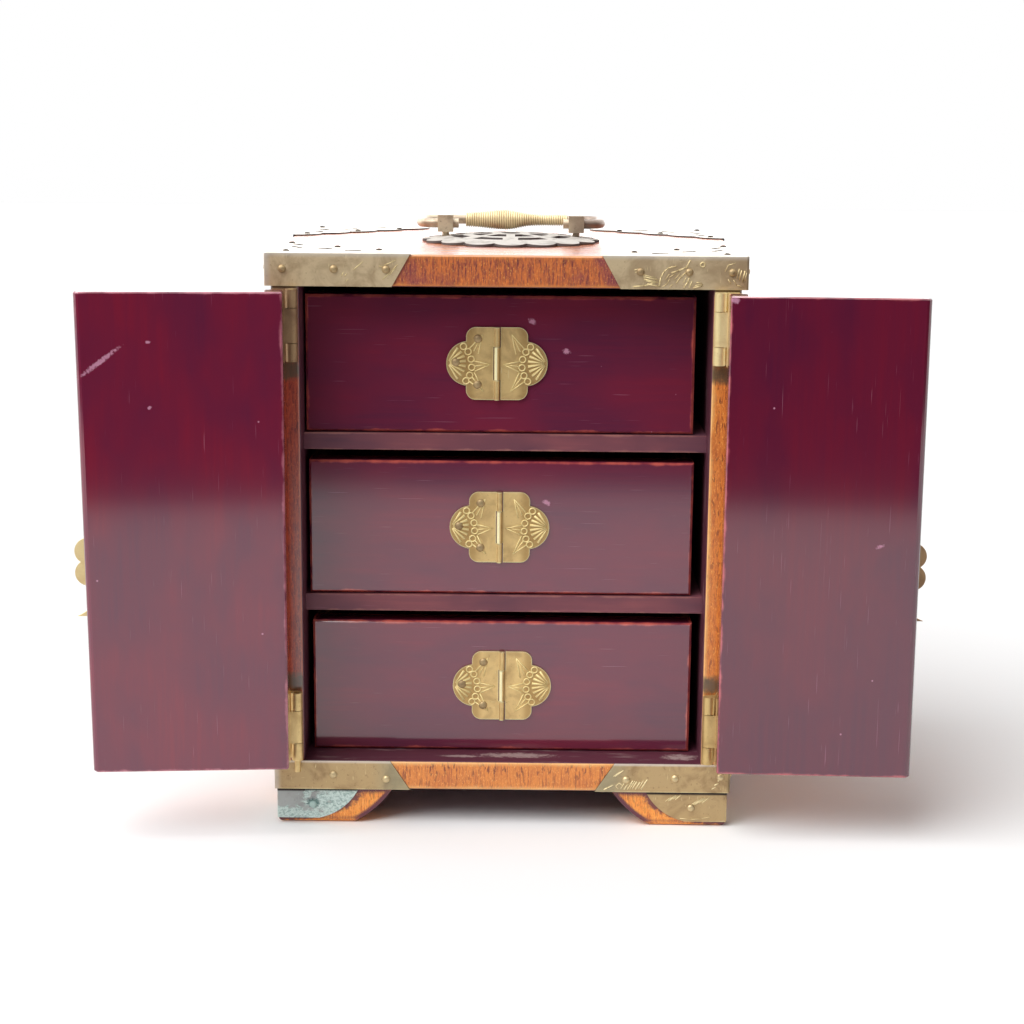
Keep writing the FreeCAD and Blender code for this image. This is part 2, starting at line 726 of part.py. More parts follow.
def door_panel():
    """Plain panel with its inner meeting edge chamfered so that the pair can pass."""
    hinge_x = BAY_HALF - DOOR_SIDE_GAP
    meet_x = DOOR_MEETING_GAP / 2
    inner_y = FRONT + DOOR_THICK

    def place(x, y):
        return V(x, y, DOOR_LOW)

    face = outline(
        place(meet_x, FRONT),
        place(hinge_x, FRONT),
        place(hinge_x, inner_y),
        place(meet_x + DOOR_MEETING_CHAMFER, inner_y),
        place(meet_x, inner_y - DOOR_MEETING_CHAMFER),
    )
    return eased(face.extrude(V(0, 0, DOOR_HIGH - DOOR_LOW)), DOOR_ARRIS)


def staple(side):
    """Round back plate with two legs and the bar that a drop pull hangs on."""
    x = DROP_CENTRE[side]
    bar_y = FRONT - DROP_STANDOFF[side]
    plate_foot = V(x, FRONT, DROP_AXIS_HEIGHT)
    pieces = [
        rod(STAPLE_PLATE_RADIUS, plate_foot, plate_foot - V(0, STAPLE_PLATE, 0)),
        rod(STAPLE_BAR_RADIUS, V(x - STAPLE_HALF, bar_y, DROP_AXIS_HEIGHT),
            V(x + STAPLE_HALF, bar_y, DROP_AXIS_HEIGHT)),
    ]
    for way in (-1, 1):
        inner = x + way * (STAPLE_HALF - STAPLE_LEG)
        outer = x + way * STAPLE_HALF
        pieces.append(box(
            min(inner, outer), max(inner, outer),
            bar_y - STAPLE_LEG / 2, FRONT,
            DROP_AXIS_HEIGHT - STAPLE_LEG / 2, DROP_AXIS_HEIGHT + STAPLE_LEG / 2,
        ))
    return fused(pieces)


def drop_pull(side):
    """Pendant with two lobes on each side and a flared foot, its eye on the staple's bar."""
    x = DROP_CENTRE[side]
    bar_y = FRONT - DROP_STANDOFF[side]
    back_y = bar_y + DROP_SHEET / 2
    eye_half = DROP_EYE_LENGTH / 2
    away = V(0, -DROP_SHEET, 0)

    def place(across, down):
        return V(x + across, back_y, DROP_AXIS_HEIGHT - down)

    pieces = [
        rod(DROP_EYE_RADIUS, V(x - eye_half, bar_y, DROP_AXIS_HEIGHT),
            V(x + eye_half, bar_y, DROP_AXIS_HEIGHT)),
        box(x - DROP_NECK / 2, x + DROP_NECK / 2, bar_y - DROP_SHEET / 2, back_y,
            DROP_AXIS_HEIGHT - DROP_FOOT_DEPTH + DROP_FOOT_HEIGHT, DROP_AXIS_HEIGHT),
    ]
    for depth in DROP_LOBE_DEPTHS:
        for way in (-1, 1):
            centre = place(way * DROP_LOBE_OFFSET, depth)
            pieces.append(rod(DROP_LOBE_RADIUS, centre, centre + away))
    pieces.append(box(
        x - DROP_LOBE_OFFSET, x + DROP_LOBE_OFFSET, back_y - DROP_SHEET, back_y,
        DROP_AXIS_HEIGHT - DROP_LOBE_DEPTHS[1] - DROP_LOBE_RADIUS,
        DROP_AXIS_HEIGHT - DROP_LOBE_DEPTHS[0] + DROP_LOBE_RADIUS,
    ))
    shoulder = DROP_FOOT_DEPTH - DROP_FOOT_HEIGHT
    half_way = DROP_FOOT_DEPTH - DROP_FOOT_HEIGHT / 2
    hollow = (DROP_NECK / 2 + DROP_FOOT_HALF) / 2 - DROP_FOOT_HOLLOW
    pieces.append(outline(
        place(DROP_NECK / 2, shoulder),
        (place(hollow, half_way), place(DROP_FOOT_HALF, DROP_FOOT_DEPTH)),
        place(-DROP_FOOT_HALF, DROP_FOOT_DEPTH),
        (place(-hollow, half_way), place(-DROP_NECK / 2, shoulder)),
    ).extrude(away))
    bore = rod(
        STAPLE_BAR_RADIUS + RUNNING_CLEAR,
        V(x - eye_half, bar_y, DROP_AXIS_HEIGHT), V(x + eye_half, bar_y, DROP_AXIS_HEIGHT),
    )
    return fused(pieces).cut(bore)


def opened(shape, side):
    """Turn a closed door's piece about its hinge pins to where the door stands."""
    turned = shape.copy()
    if side == "right":
        turned.rotate(V(AXIS_X, AXIS_Y, 0), V(0, 0, 1), RIGHT_DOOR_ANGLE)
        return turned
    turned = left_of(turned)
    turned.rotate(V(-AXIS_X, AXIS_Y, 0), V(0, 0, 1), -LEFT_DOOR_ANGLE)
    return turned


def build():
    """Make every piece and write it out."""
    os.makedirs("parts", exist_ok=True)
    save("top_board", top_board())
    save("bottom_board", bottom_board())
    save("right_side_panel", right_side_panel())
    save("left_side_panel", left_of(right_side_panel()))
    save("back_panel", back_panel())
    save("lower_shelf", shelf(1))
    save("upper_shelf", shelf(2))
    cornered = {"foot": foot(), "foot_mount": foot_mount(), "top_mount": top_mount(),
                "base_mount": base_mount()}
    for piece, shape in cornered.items():
        for corner, copy in four_corners(shape).items():
            save(corner + "_" + piece, copy)
    save("top_medallion", medallion())
    save("handle_posts", handle_posts())
    save("handle_bail", handle_bail())
    save("handle_grip", handle_grip())
    pins = []
    for side in ("left", "right"):
        for place in ("upper", "lower"):
            hinge = side + "_" + place + "_hinge_"
            leaf = case_leaf(place)
            save(hinge + "case_leaf", left_of(leaf) if side == "left" else leaf)
            save(hinge + "door_leaf", opened(door_leaf(place), side))
            pins.append(hinge_pin(side, place))
        save(side + "_door_panel", opened(door_panel(), side))
        save(side + "_pull_staple", opened(staple(side), side))
        save(side + "_drop_pull", opened(drop_pull(side), side))
    save("hinge_pins", Part.makeCompound(pins))
    for name in BAY_NAMES:
        Drawer(name).save()


build()
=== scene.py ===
"""Finishes, small fittings and studio of a brass-bound hardwood jewellery box, in metres."""

import json
import logging
import math
import random
from dataclasses import dataclass, replace
from enum import Enum, StrEnum
from functools import cached_property
from typing import Callable, Iterable, Sequence, Union

import bmesh
import bpy
from mathutils import Matrix, Vector


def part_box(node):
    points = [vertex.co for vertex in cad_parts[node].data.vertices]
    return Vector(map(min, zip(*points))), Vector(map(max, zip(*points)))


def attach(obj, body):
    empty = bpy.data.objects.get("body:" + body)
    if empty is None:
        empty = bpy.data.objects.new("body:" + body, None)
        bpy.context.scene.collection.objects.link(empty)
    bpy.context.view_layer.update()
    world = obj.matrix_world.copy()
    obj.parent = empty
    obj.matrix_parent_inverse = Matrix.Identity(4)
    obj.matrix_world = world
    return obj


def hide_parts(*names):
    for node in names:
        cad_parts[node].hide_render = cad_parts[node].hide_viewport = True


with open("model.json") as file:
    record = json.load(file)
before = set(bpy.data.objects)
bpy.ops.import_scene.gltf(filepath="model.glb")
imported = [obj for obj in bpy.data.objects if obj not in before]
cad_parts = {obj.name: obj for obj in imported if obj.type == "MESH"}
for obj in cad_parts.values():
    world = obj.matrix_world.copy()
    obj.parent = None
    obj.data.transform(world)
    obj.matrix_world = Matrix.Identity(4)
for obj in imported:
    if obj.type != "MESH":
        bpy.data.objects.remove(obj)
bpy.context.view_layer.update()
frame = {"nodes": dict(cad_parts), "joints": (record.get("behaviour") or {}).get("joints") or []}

LOG = logging.getLogger("jewellery_box")
MM = 0.001
PER_METRE = 1000.0
MERGE_GAP = 1e-6
TINY = 1e-7
FORWARD = Vector((0, -1, 0))
UPWARD = Vector((0, 0, 1))
Colour = tuple[float, float, float]
Scale = Union[float, tuple[float, float, float]]
Place = tuple[float, float]
Path = tuple[Place, ...]
Mesh = bmesh.types.BMesh
Material = bpy.types.Material
Piece = bpy.types.Object


def tone(red: int, green: int, blue: int) -> Colour:
    """A colour as it looks on a screen, in steps of 255, turned to linear light.

    Args:
        red: red step.
        green: green step.
        blue: blue step.

    Returns:
        The three linear values.
    """
    def linear(step: int) -> float:
        """One linear value."""
        share = step / 255
        return share / 12.92 if share <= 0.04045 else ((share + 0.055) / 1.055) ** 2.4

    return linear(red), linear(green), linear(blue)


# Shader graphs


def math_node(operation: str, swapped: bool = False) -> Callable[["Wire", "Number"], "Wire"]:
    """A method of Wire that adds one Math node of two values.

    Args:
        operation: what the node works out.
        swapped: whether the wire is the second value.

    Returns:
        The method.
    """
    def method(self: "Wire", other: "Number") -> "Wire":
        """The node's result."""
        pair = (other, self) if swapped else (self, other)
        return self.graph.node("ShaderNodeMath", {"operation": operation}, dict(enumerate(pair)))

    return method


class Wire:
    """An output socket whose arithmetic adds nodes to its graph."""

    def __init__(self, graph: "Graph", socket: bpy.types.NodeSocket) -> None:
        """Keep the socket and the graph that new nodes go to."""
        self.graph = graph
        self.socket = socket

    __add__ = __radd__ = math_node("ADD")
    __sub__ = math_node("SUBTRACT")
    __rsub__ = math_node("SUBTRACT", swapped=True)
    __mul__ = __rmul__ = math_node("MULTIPLY")
    __truediv__ = math_node("DIVIDE")
    __rtruediv__ = math_node("DIVIDE", swapped=True)
    least = math_node("MINIMUM")
    most = math_node("MAXIMUM")

    def __abs__(self) -> "Wire":
        """The size without its sign."""
        return self.graph.node("ShaderNodeMath", {"operation": "ABSOLUTE"}, {0: self})

    def fraction(self) -> "Wire":
        """What is left over past the last whole number."""
        return self.graph.node("ShaderNodeMath", {"operation": "FRACT"}, {0: self})

    def rise(self, low: float, high: float) -> "Wire":
        """A smooth step from 0 at low to 1 at high; it falls where high is below low.

        Args:
            low: value where the step starts.
            high: value where the step ends.

        Returns:
            A mask from 0 to 1.
        """
        if high < low:
            return 1 - self.rise(high, low)
        sockets = {"Value": self, "From Min": low, "From Max": high, "To Min": 0.0, "To Max": 1.0}
        return self.graph.node("ShaderNodeMapRange", {"interpolation_type": "SMOOTHSTEP"}, sockets)


Number = Union[float, Wire]
Tint = Union[Colour, Wire]
Coat = tuple[Number, Tint]


class Graph:
    """A node tree that is written as expressions."""

    def __init__(self, tree: bpy.types.NodeTree) -> None:
        """Start from an empty tree."""
        self.tree = tree
        tree.nodes.clear()

    @staticmethod
    def _find(sockets: bpy.types.bpy_prop_collection, key: Union[int, str]) -> bpy.types.NodeSocket:
        """A socket of a node.

        Args:
            sockets: the node's inputs or outputs.
            key: the socket's number, identifier or name.

        Returns:
            The socket.
        """
        if isinstance(key, int):
            return sockets[key]
        return next((one for one in sockets if one.identifier == key), None) or sockets[key]

    def node(self, kind: str, settings: dict, sockets: dict, output: Union[int, str] = 0) -> Wire:
        """Add any node.

        Args:
            kind: the node's type.
            settings: its own options, set first.
            sockets: values or wires by socket number, identifier or name.
            output: the output to hand on; a node without outputs hands on its first input.

        Returns:
            The chosen socket.
        """
        made = self.tree.nodes.new(kind)
        for name, value in settings.items():
            setattr(made, name, value)
        for key, value in sockets.items():
            socket = self._find(made.inputs, key)
            if isinstance(value, Wire):
                self.tree.links.new(value.socket, socket)
            elif socket.type == "RGBA" and len(value) == 3:
                socket.default_value = (*value, 1.0)
            else:
                socket.default_value = value
        return Wire(self, self._find(made.outputs if len(made.outputs) else made.inputs, output))

    def split(self, vector: Wire) -> tuple[Wire, Wire, Wire]:
        """Take a vector apart.

        Args:
            vector: what to split.

        Returns:
            Its three parts.
        """
        first = self.node("ShaderNodeSeparateXYZ", {}, {"Vector": vector})
        _, second, third = first.socket.node.outputs
        return first, Wire(self, second), Wire(self, third)

    def layer(self, colour: Tint, *coats: Coat) -> Tint:
        """Lay colours over a colour, one after another.

        Args:
            colour: the ground.
            coats: for each colour how much of it shows, and the colour.

        Returns:
            What shows in the end.
        """
        for share, coat in coats:
            sockets = {"Factor_Float": share, "A_Color": colour, "B_Color": coat}
            colour = self.node("ShaderNodeMix", {"data_type": "RGBA"}, sockets, "Result_Color")
        return colour


class Surface(Graph):
    """The graph of one material, with places in millimetres from the middle of a board."""

    def __init__(self, name: str, board: "Board | None" = None, seed: float = 0.0) -> None:
        """Make the material.

        Args:
            name: its name.
            board: the box that its patterns are laid out on.
            seed: what sets its patterns apart from those of other boards.
        """
        self.material = bpy.data.materials.new(name)
        self.material.use_nodes = True
        super().__init__(self.material.node_tree)
        self.board = board
        self.seed = seed

    @classmethod
    def of(cls, node: str, kind: str, seed: float) -> "Surface":
        """The surface of a solid, named for the solid and the kind of finish."""
        return cls(f"{node}_{kind}", Board.of(node), seed)

    @cached_property
    def place(self) -> Wire:
        """Places along the board's own sides.

        Returns:
            The mapped coordinates.
        """
        sockets = {
            "Vector": self.node("ShaderNodeTexCoord", {}, {}, "Object"),
            "Scale": (PER_METRE, PER_METRE, PER_METRE),
            "Rotation": (0.0, 0.0, self.board.turn),
            "Location": tuple(-self.board.centre),
        }
        return self.node("ShaderNodeMapping", {"vector_type": "POINT"}, sockets)

    @cached_property
    def sides(self) -> tuple[Wire, Wire, Wire]:
        """Places across, deep and up."""
        return self.split(self.place)

    @cached_property
    def facing(self) -> tuple[Wire, Wire, Wire]:
        """The three parts of the piece's own normal, which turns with the piece."""
        return self.split(self.node("ShaderNodeTexCoord", {}, {}, "Normal"))

    @cached_property
    def edge(self) -> Wire:
        """Distance in millimetres from the board's nearest arris, along the surface."""
        first, second, third = (half - abs(part) for half, part in zip(self.board.half, self.sides))
        return first.least(second).most(first.most(second).least(third))

    def face(self, side: "Face", skin: float) -> Wire:
        """Mask of one face of the board.

        Args:
            side: which face.
            skin: how deep the mask reaches, in millimetres.

        Returns:
            A mask from 0 to 1.
        """
        axis, way = side.value
        half = self.board.half[axis]
        return (self.sides[axis] * way).rise(half - skin, half - skin * 0.4)

    def stretch(self, scale: Scale, shift: float) -> Wire:
        """Places scaled and moved, to stretch and vary a pattern.

        Args:
            scale: how fast the pattern changes per millimetre, all ways alike or along each axis.
            shift: what sets the pattern apart from the board's others.

        Returns:
            Where to read the pattern.
        """
        start = self.seed + shift
        sockets = {
            "Vector": self.place,
            "Scale": scale if isinstance(scale, tuple) else (scale, scale, scale),
            "Location": (start, start * 0.7, start * 1.3),
        }
        return self.node("ShaderNodeMapping", {"vector_type": "POINT"}, sockets)

    def noise(
        self, scale: Scale, shift: float = 0.0, detail: float = 3.0, rough: float = 0.55, warp: float = 0.0,
    ) -> Wire:
        """Cloudy values about 0.5.

        Args:
            scale: how fast the pattern changes per millimetre.
            shift: what sets the pattern apart from the board's others.
            detail: how many finer layers are added.
            rough: how strong the finer layers are.
            warp: how far the pattern is bent.

        Returns:
            The pattern's value.
        """
        sockets = {
            "Vector": self.stretch(scale, shift),
            "Scale": 1.0,
            "Detail": detail,
            "Roughness": rough,
            "Distortion": warp,
        }
        return self.node("ShaderNodeTexNoise", {"noise_dimensions": "3D"}, sockets)

    def specks(self, scale: Scale, shift: float, output: str = "Distance") -> Wire:
        """Distance to the nearest of many scattered points, or that point's own colour."""
        sockets = {"Vector": self.stretch(scale, shift), "Scale": 1.0}
        return self.node("ShaderNodeTexVoronoi", {"feature": "F1"}, sockets, output)

    def bump(self, height: Wire, depth: float) -> Wire:
        """A normal from a height pattern of about 0 to 1, as deep as given in millimetres."""
        sockets = {"Strength": 1.0, "Distance": depth * MM, "Height": height}
        return self.node("ShaderNodeBump", {}, sockets)

    def arris(self, reach: float) -> Wire:
        """Mask that is 0 on flat faces and grows towards real edges.

        Args:
            reach: how far from an edge it starts, in millimetres.

        Returns:
            A mask from 0 to 1.
        """
        soft = self.node("ShaderNodeBevel", {"samples": 8}, {"Radius": reach * MM})
        flat = self.node("ShaderNodeNewGeometry", {}, {}, "True Normal")
        product = {"operation": "DOT_PRODUCT"}
        same = self.node("ShaderNodeVectorMath", product, {0: soft, 1: flat}, "Value")
        return same.rise(0.998, 0.86)

    def finish(self, **sockets: Union[Number, Tint]) -> Material:
        """Close the graph with one Principled shader.

        Args:
            sockets: its values and wires, with underscores for blanks in their names.

        Returns:
            The finished material.
        """
        named = {name.replace("_", " "): value for name, value in sockets.items()}
        shader = self.node("ShaderNodeBsdfPrincipled", {}, named)
        self.node("ShaderNodeOutputMaterial", {}, {"Surface": shader})
        return self.material


# Boards and marks


class Grain(Enum):
    """Side along which a board's grain runs."""

    ACROSS = 0
    DEEP = 1
    UPRIGHT = 2

    def scales(self, along: float, across: float) -> Scale:
        """Pattern scales per millimetre along the grain and across it, for the three axes."""
        return tuple(along if axis == self.value else across for axis in range(3))


class Face(Enum):
    """A face of a board: the axis that it is square to, and -1 or 1 for its low or high side."""

    LEFT = (0, -1)
    RIGHT = (0, 1)
    FRONT = (1, -1)
    BACK = (1, 1)
    UNDER = (2, -1)
    UPPER = (2, 1)


@dataclass(frozen=True)
class Board:
    """A piece's own box in millimetres, turned about the upright axis to lie square."""

    centre: Vector
    half: Vector
    turn: float = 0.0

    @classmethod
    def of(cls, node: str, turn: float = 0.0) -> "Board":
        """Measure a solid.

        Args:
            node: its name.
            turn: angle in radians that brings its sides square to the axes.

        Returns:
            Its box.
        """
        spin = Matrix.Rotation(turn, 3, "Z")
        places = [spin @ (vertex.co * PER_METRE) for vertex in frame["nodes"][node].data.vertices]
        low = Vector(min(place[axis] for place in places) for axis in range(3))
        high = Vector(max(place[axis] for place in places) for axis in range(3))
        return cls((low + high) / 2, (high - low) / 2, turn)


@dataclass(frozen=True)
class Scuff:
    """One rubbed or chipped mark on a face: its middle, half sizes in millimetres and slant."""

    across: float
    along: float
    half_long: float
    half_wide: float
    slant: float = 0.0
    ragged: float = 3.0
    soft: float = 0.9

    def mask(self, first: Wire, second: Wire, grit: Wire) -> Wire:
        """Where the mark shows.

        Args:
            first: places along the face's first side.
            second: places along its second side.
            grit: pattern that breaks up the mark's edge.

        Returns:
            A mask from 0 to 1.
        """
        cosine, sine = math.cos(math.radians(self.slant)), math.sin(math.radians(self.slant))
        ahead = ((first - self.across) * cosine + (second - self.along) * sine) / self.half_long
        aside = ((second - self.along) * cosine - (first - self.across) * sine) / self.half_wide
        limit = 1 + self.ragged / 2
        return (ahead * ahead + aside * aside + grit * self.ragged).rise(limit, limit - self.soft)


# Finishes


INSIDE_STAIN = tone(92, 46, 60)
INSIDE_DUST = tone(178, 156, 152)
PURPLE = tone(128, 58, 82)
# Dark brown for the dark patches on the case and for painted shade on brass.
DARK_PATCH_AND_SHADE = tone(86, 76, 58)
# Dark colour for painted shade at mount joints and on inward faces.
SEAM_SHADE = tone(40, 28, 24)
# Pale colour for the painted highlight along mount edges.
FOLD_HIGHLIGHT = tone(232, 224, 214)
GREENED = tone(158, 156, 130)


@dataclass(frozen=True)
class Lacquer:
    """Deep maroon lacquer: faint brush streaks, rare dust nibs, chips, and arrises lightened by wear and by
    painted sheen.
    """

    body: Colour
    crimson: Colour
    violet: Colour
    rubbed: Colour
    rub_reach: float = 0.0
    chip: Colour = tone(210, 152, 178)
    coat_rough: float = 0.1
    coat_bend: float = 1.82
    gloss: float = 1.0

    def colour(self, surface: Surface, grain: Grain, scuffs: Sequence[Scuff]) -> tuple[Wire, Wire, Wire]:
        """Colour, marks and brush pattern.

        Args:
            surface: the graph to write in.
            grain: side along which the brush was drawn.
            scuffs: single marks, placed across and up from the board's middle.

        Returns:
            The colour, a mask of marks and the brush lines' height.
        """
        streak = surface.noise(grain.scales(0.02, 0.5), detail=5.0, rough=0.65, warp=0.3)
        cloud = surface.noise(grain.scales(0.02, 0.045), shift=5)
        brush = surface.noise(grain.scales(0.03, 1.6), shift=9, detail=2.0)
        scratch = surface.noise(grain.scales(0.06, 2.6), shift=17, detail=1.0)
        wear = surface.noise(0.14, shift=21)
        grit = surface.noise(1.1, shift=2, detail=4.0, rough=0.65)
        chosen = surface.split(surface.specks(0.11, 3, "Color"))[0].rise(0.7, 0.72)
        nibs = surface.specks(0.11, 3).rise(0.05, 0.025) * chosen
        # Arrises lightened where worn through, partly wear and partly painted sheen on the rounded edges.
        rub = (surface.edge + wear * 2.6).rise(2.0 + self.rub_reach, 0.9 + self.rub_reach)
        marks = nibs.most(scratch.rise(0.72, 0.8) * 0.3)
        across, _, up = surface.sides
        for scuff in scuffs:
            marks = marks.most(scuff.mask(across, up, grit))
        colour = surface.layer(
            self.violet,
            (cloud.rise(0.35, 0.65), self.crimson),
            (streak.rise(0.35, 0.6) * 0.6, self.body),
            (rub * 0.85, self.rubbed),
            (marks * 0.75, self.chip),
        )
        return colour, marks, brush

    def close(self, surface: Surface, colour: Wire, marks: Wire, brush: Wire, height: Wire) -> Material:
        """Close the graph with a gloss coat that is dull on the marks.

        Args:
            surface: the graph to close.
            colour: what shows.
            marks: mask of marks.
            brush: the brush lines.
            height: pattern of the relief.

        Returns:
            The material.
        """
        return surface.finish(
            Base_Color=colour,
            Roughness=0.4 + marks * 0.3 + brush * 0.08,
            Specular_IOR_Level=0.0,
            Coat_Weight=self.gloss - marks * 0.6 * self.gloss,
            Coat_Roughness=self.coat_rough,
            Coat_IOR=self.coat_bend,
            Normal=surface.bump(height, 0.008),
        )

    def material(self, surface: Surface, grain: Grain, scuffs: Sequence[Scuff] = ()) -> Material:
        """The finish on one board, with its brushed side and its own marks."""
        colour, marks, brush = self.colour(surface, grain, scuffs)
        return self.close(surface, colour, marks, brush, brush)


@dataclass(frozen=True)
class AmberWood:
    """Amber hardwood under gloss lacquer: dark striations, purple ends and a tinted rim."""

    amber: Colour
    rim: Colour
    stain: Colour = tone(150, 74, 66)
    dark: Colour = tone(88, 40, 46)
    gleam: Colour = tone(252, 186, 96)
    rim_share: float = 0.75
    rim_reach: float = 2.2
    striping: float = 1.0
    ticked: float = 0.4
    purple_from: float = 0.0
    border: float = 0.0
    skin: float = 0.35
    coat: float = 0.9
    coat_rough: float = 0.2
    coat_bend: float = 1.9

    def colour(self, surface: Surface, grain: Grain, stains: Sequence[Scuff] = ()) -> tuple[Wire, Wire]:
        """Colour and pore pattern.

        Args:
            surface: the graph to write in.
            grain: side along which the upper and side faces' grain runs.
            stains: dark patches on the front, placed across and up from the board's middle.

        Returns:
            The colour and the pores' height.
        """
        across, deep, up = surface.sides
        half = surface.board.half
        upward = abs(surface.facing[2]).rise(0.4, 0.8)
        lines = surface.noise(Grain.UPRIGHT.scales(0.17, 1.7), detail=5.0, rough=0.75, warp=0.4)
        flow = surface.noise(grain.scales(0.02, 0.42), shift=3, detail=5.0, rough=0.6, warp=0.6)
        figure = lines + (flow - lines) * upward
        cloud = surface.noise(0.07, shift=7, rough=0.6)
        fleck = surface.noise((2.2, 2.2, 0.9), shift=11, rough=0.7)
        ticks = surface.noise((1.0, 1.0, 0.26), shift=53, detail=2.0, rough=0.5)
        grit = surface.noise(0.6, shift=29, detail=4.0, rough=0.65)
        near = (surface.edge + cloud * self.rim_reach + figure * self.rim_reach).rise(
            self.rim_reach * 1.75, self.rim_reach * 0.85)
        upper_half = 0.55 + 0.45 * (up / half.z).rise(-0.3, 0.5)
        coats = [(figure.rise(0.38, 0.56), self.amber), (cloud.rise(0.5, 0.72) * 0.55, self.stain)]
        if self.purple_from > 0:
            ends = (abs(across) + (cloud - 0.5) * 60).rise(self.purple_from, self.purple_from + 20)
            coats.append((ends * (1 - upward) * 0.75, PURPLE))
        coats += [
            (figure.rise(0.45, 0.33) * 0.75 * self.striping * upper_half, self.dark),
            (fleck.rise(0.55, 0.7) * 0.6 * self.striping, self.dark),
            (ticks.rise(0.58, 0.66) * self.ticked * upper_half, self.dark),
            (fleck.rise(0.44, 0.32) * 0.7, self.gleam),
            (near * self.rim_share, self.rim),
        ]
        fore = deep.rise(3.0 - half.y, 2.0 - half.y)
        patch = self.rim if self.border else DARK_PATCH_AND_SHADE
        coats += [(stain.mask(across, up, grit) * fore * 0.9, patch) for stain in stains]
        if self.border > 0:
            worn = surface.arris(self.border) * (0.4 + grit * 1.3)
            coats.append((worn.rise(0.06, 0.4), self.rim))
        return surface.layer(self.stain, *coats), figure + fleck * 0.6

    def inside(self, surface: Surface, smears: Sequence[Scuff]) -> Tint:
        """Dark stain of the faces inside the box, under dust.

        Args:
            surface: the graph to write in.
            smears: dusty marks, placed across and deep from the board's middle.

        Returns:
            The colour.
        """
        across, deep, _ = surface.sides
        dust = surface.noise((0.05, 0.4, 0.05), shift=41, detail=4.0, rough=0.7)
        grit = surface.noise((0.5, 0.7, 0.5), shift=47, detail=4.0, rough=0.7)
        dusty = dust.rise(0.56, 0.76) * 0.6
        for smear in smears:
            dusty = dusty.most(smear.mask(across, deep, grit) * 0.8)
        return surface.layer(INSIDE_STAIN, (dusty, INSIDE_DUST))

    def material(
        self, surface: Surface, grain: Grain, stains: Sequence[Scuff] = (),
        faces: Sequence[Face] = (), smears: Sequence[Scuff] = (),
    ) -> Material:
        """The finish on one board, with the faces inside the box stained dark.

        Args:
            surface: the graph to write in.
            grain: side along which the grain runs.
            stains: dark patches on the front, placed across and up.
            faces: the faces that are inside the box.
            smears: dusty marks on those faces.

        Returns:
            The material.
        """
        colour, pores = self.colour(surface, grain, stains)
        coat = self.coat
        if faces:
            mask, *others = (surface.face(side, self.skin) for side in faces)
            for other in others:
                mask = mask.most(other)
            colour = surface.layer(colour, (mask, self.inside(surface, smears)))
            coat = self.coat - mask * 0.55
        return surface.finish(
            Base_Color=colour,
            Roughness=0.4 + pores * 0.12,
            Specular_IOR_Level=0.25,
            Coat_Weight=coat,
            Coat_Roughness=self.coat_rough,
            Coat_IOR=self.coat_bend,
            Normal=surface.bump(pores, 0.02),
        )


SLAB_WOOD = AmberWood(amber=tone(220, 122, 62), rim=tone(244, 160, 78), purple_from=20.0)
BACK_WOOD = replace(SLAB_WOOD, purple_from=0.0)
BASE_WOOD = AmberWood(
    amber=tone(230, 140, 60), rim=tone(255, 202, 126), stain=tone(200, 110, 52), dark=tone(124, 56, 36),
    rim_share=0.9, rim_reach=2.6, striping=0.5, ticked=0.85, coat_bend=1.5,
)
LEFT_WOOD = AmberWood(
    amber=tone(176, 72, 46), rim=tone(226, 134, 86), stain=tone(132, 52, 44), dark=tone(86, 30, 32),
    gleam=tone(204, 100, 54), rim_share=0.6, rim_reach=1.1,
)
FOOT_WOOD = AmberWood(
    amber=tone(255, 164, 66), rim=tone(98, 40, 56), stain=tone(226, 124, 50), dark=tone(132, 60, 40),
    rim_share=0.0, rim_reach=1.0, striping=0.7, border=5.0, coat_bend=1.5,
)


@dataclass(frozen=True)
class PlainWood:
    """Bare brown drawer wood with saw marks and dust."""

    light: Colour = tone(150, 104, 70)
    deep: Colour = tone(98, 60, 40)
    dust: Colour = tone(168, 140, 116)

    def material(self, surface: Surface, grain: Grain) -> Material:
        """The finish on one piece.

        Args:
            surface: the graph to write in.
            grain: side along which the grain runs.

        Returns:
            The material.
        """
        figure = surface.noise(grain.scales(0.03, 0.5), detail=5.0, rough=0.62, warp=0.5)
        pores = surface.noise(grain.scales(0.3, 3.0), shift=4, detail=2.0)
        saw = surface.noise(0.9, shift=8, detail=2.0)
        colour = surface.layer(
            self.deep,
            (figure.rise(0.35, 0.65), self.light),
            (pores.rise(0.58, 0.7) * 0.4, self.deep),
            (saw.rise(0.55, 0.75) * 0.3, self.dust),
        )
        return surface.finish(
            Base_Color=colour,
            Roughness=0.68 + figure * 0.14,
            Normal=surface.bump(pores + saw * 0.5, 0.05),
        )


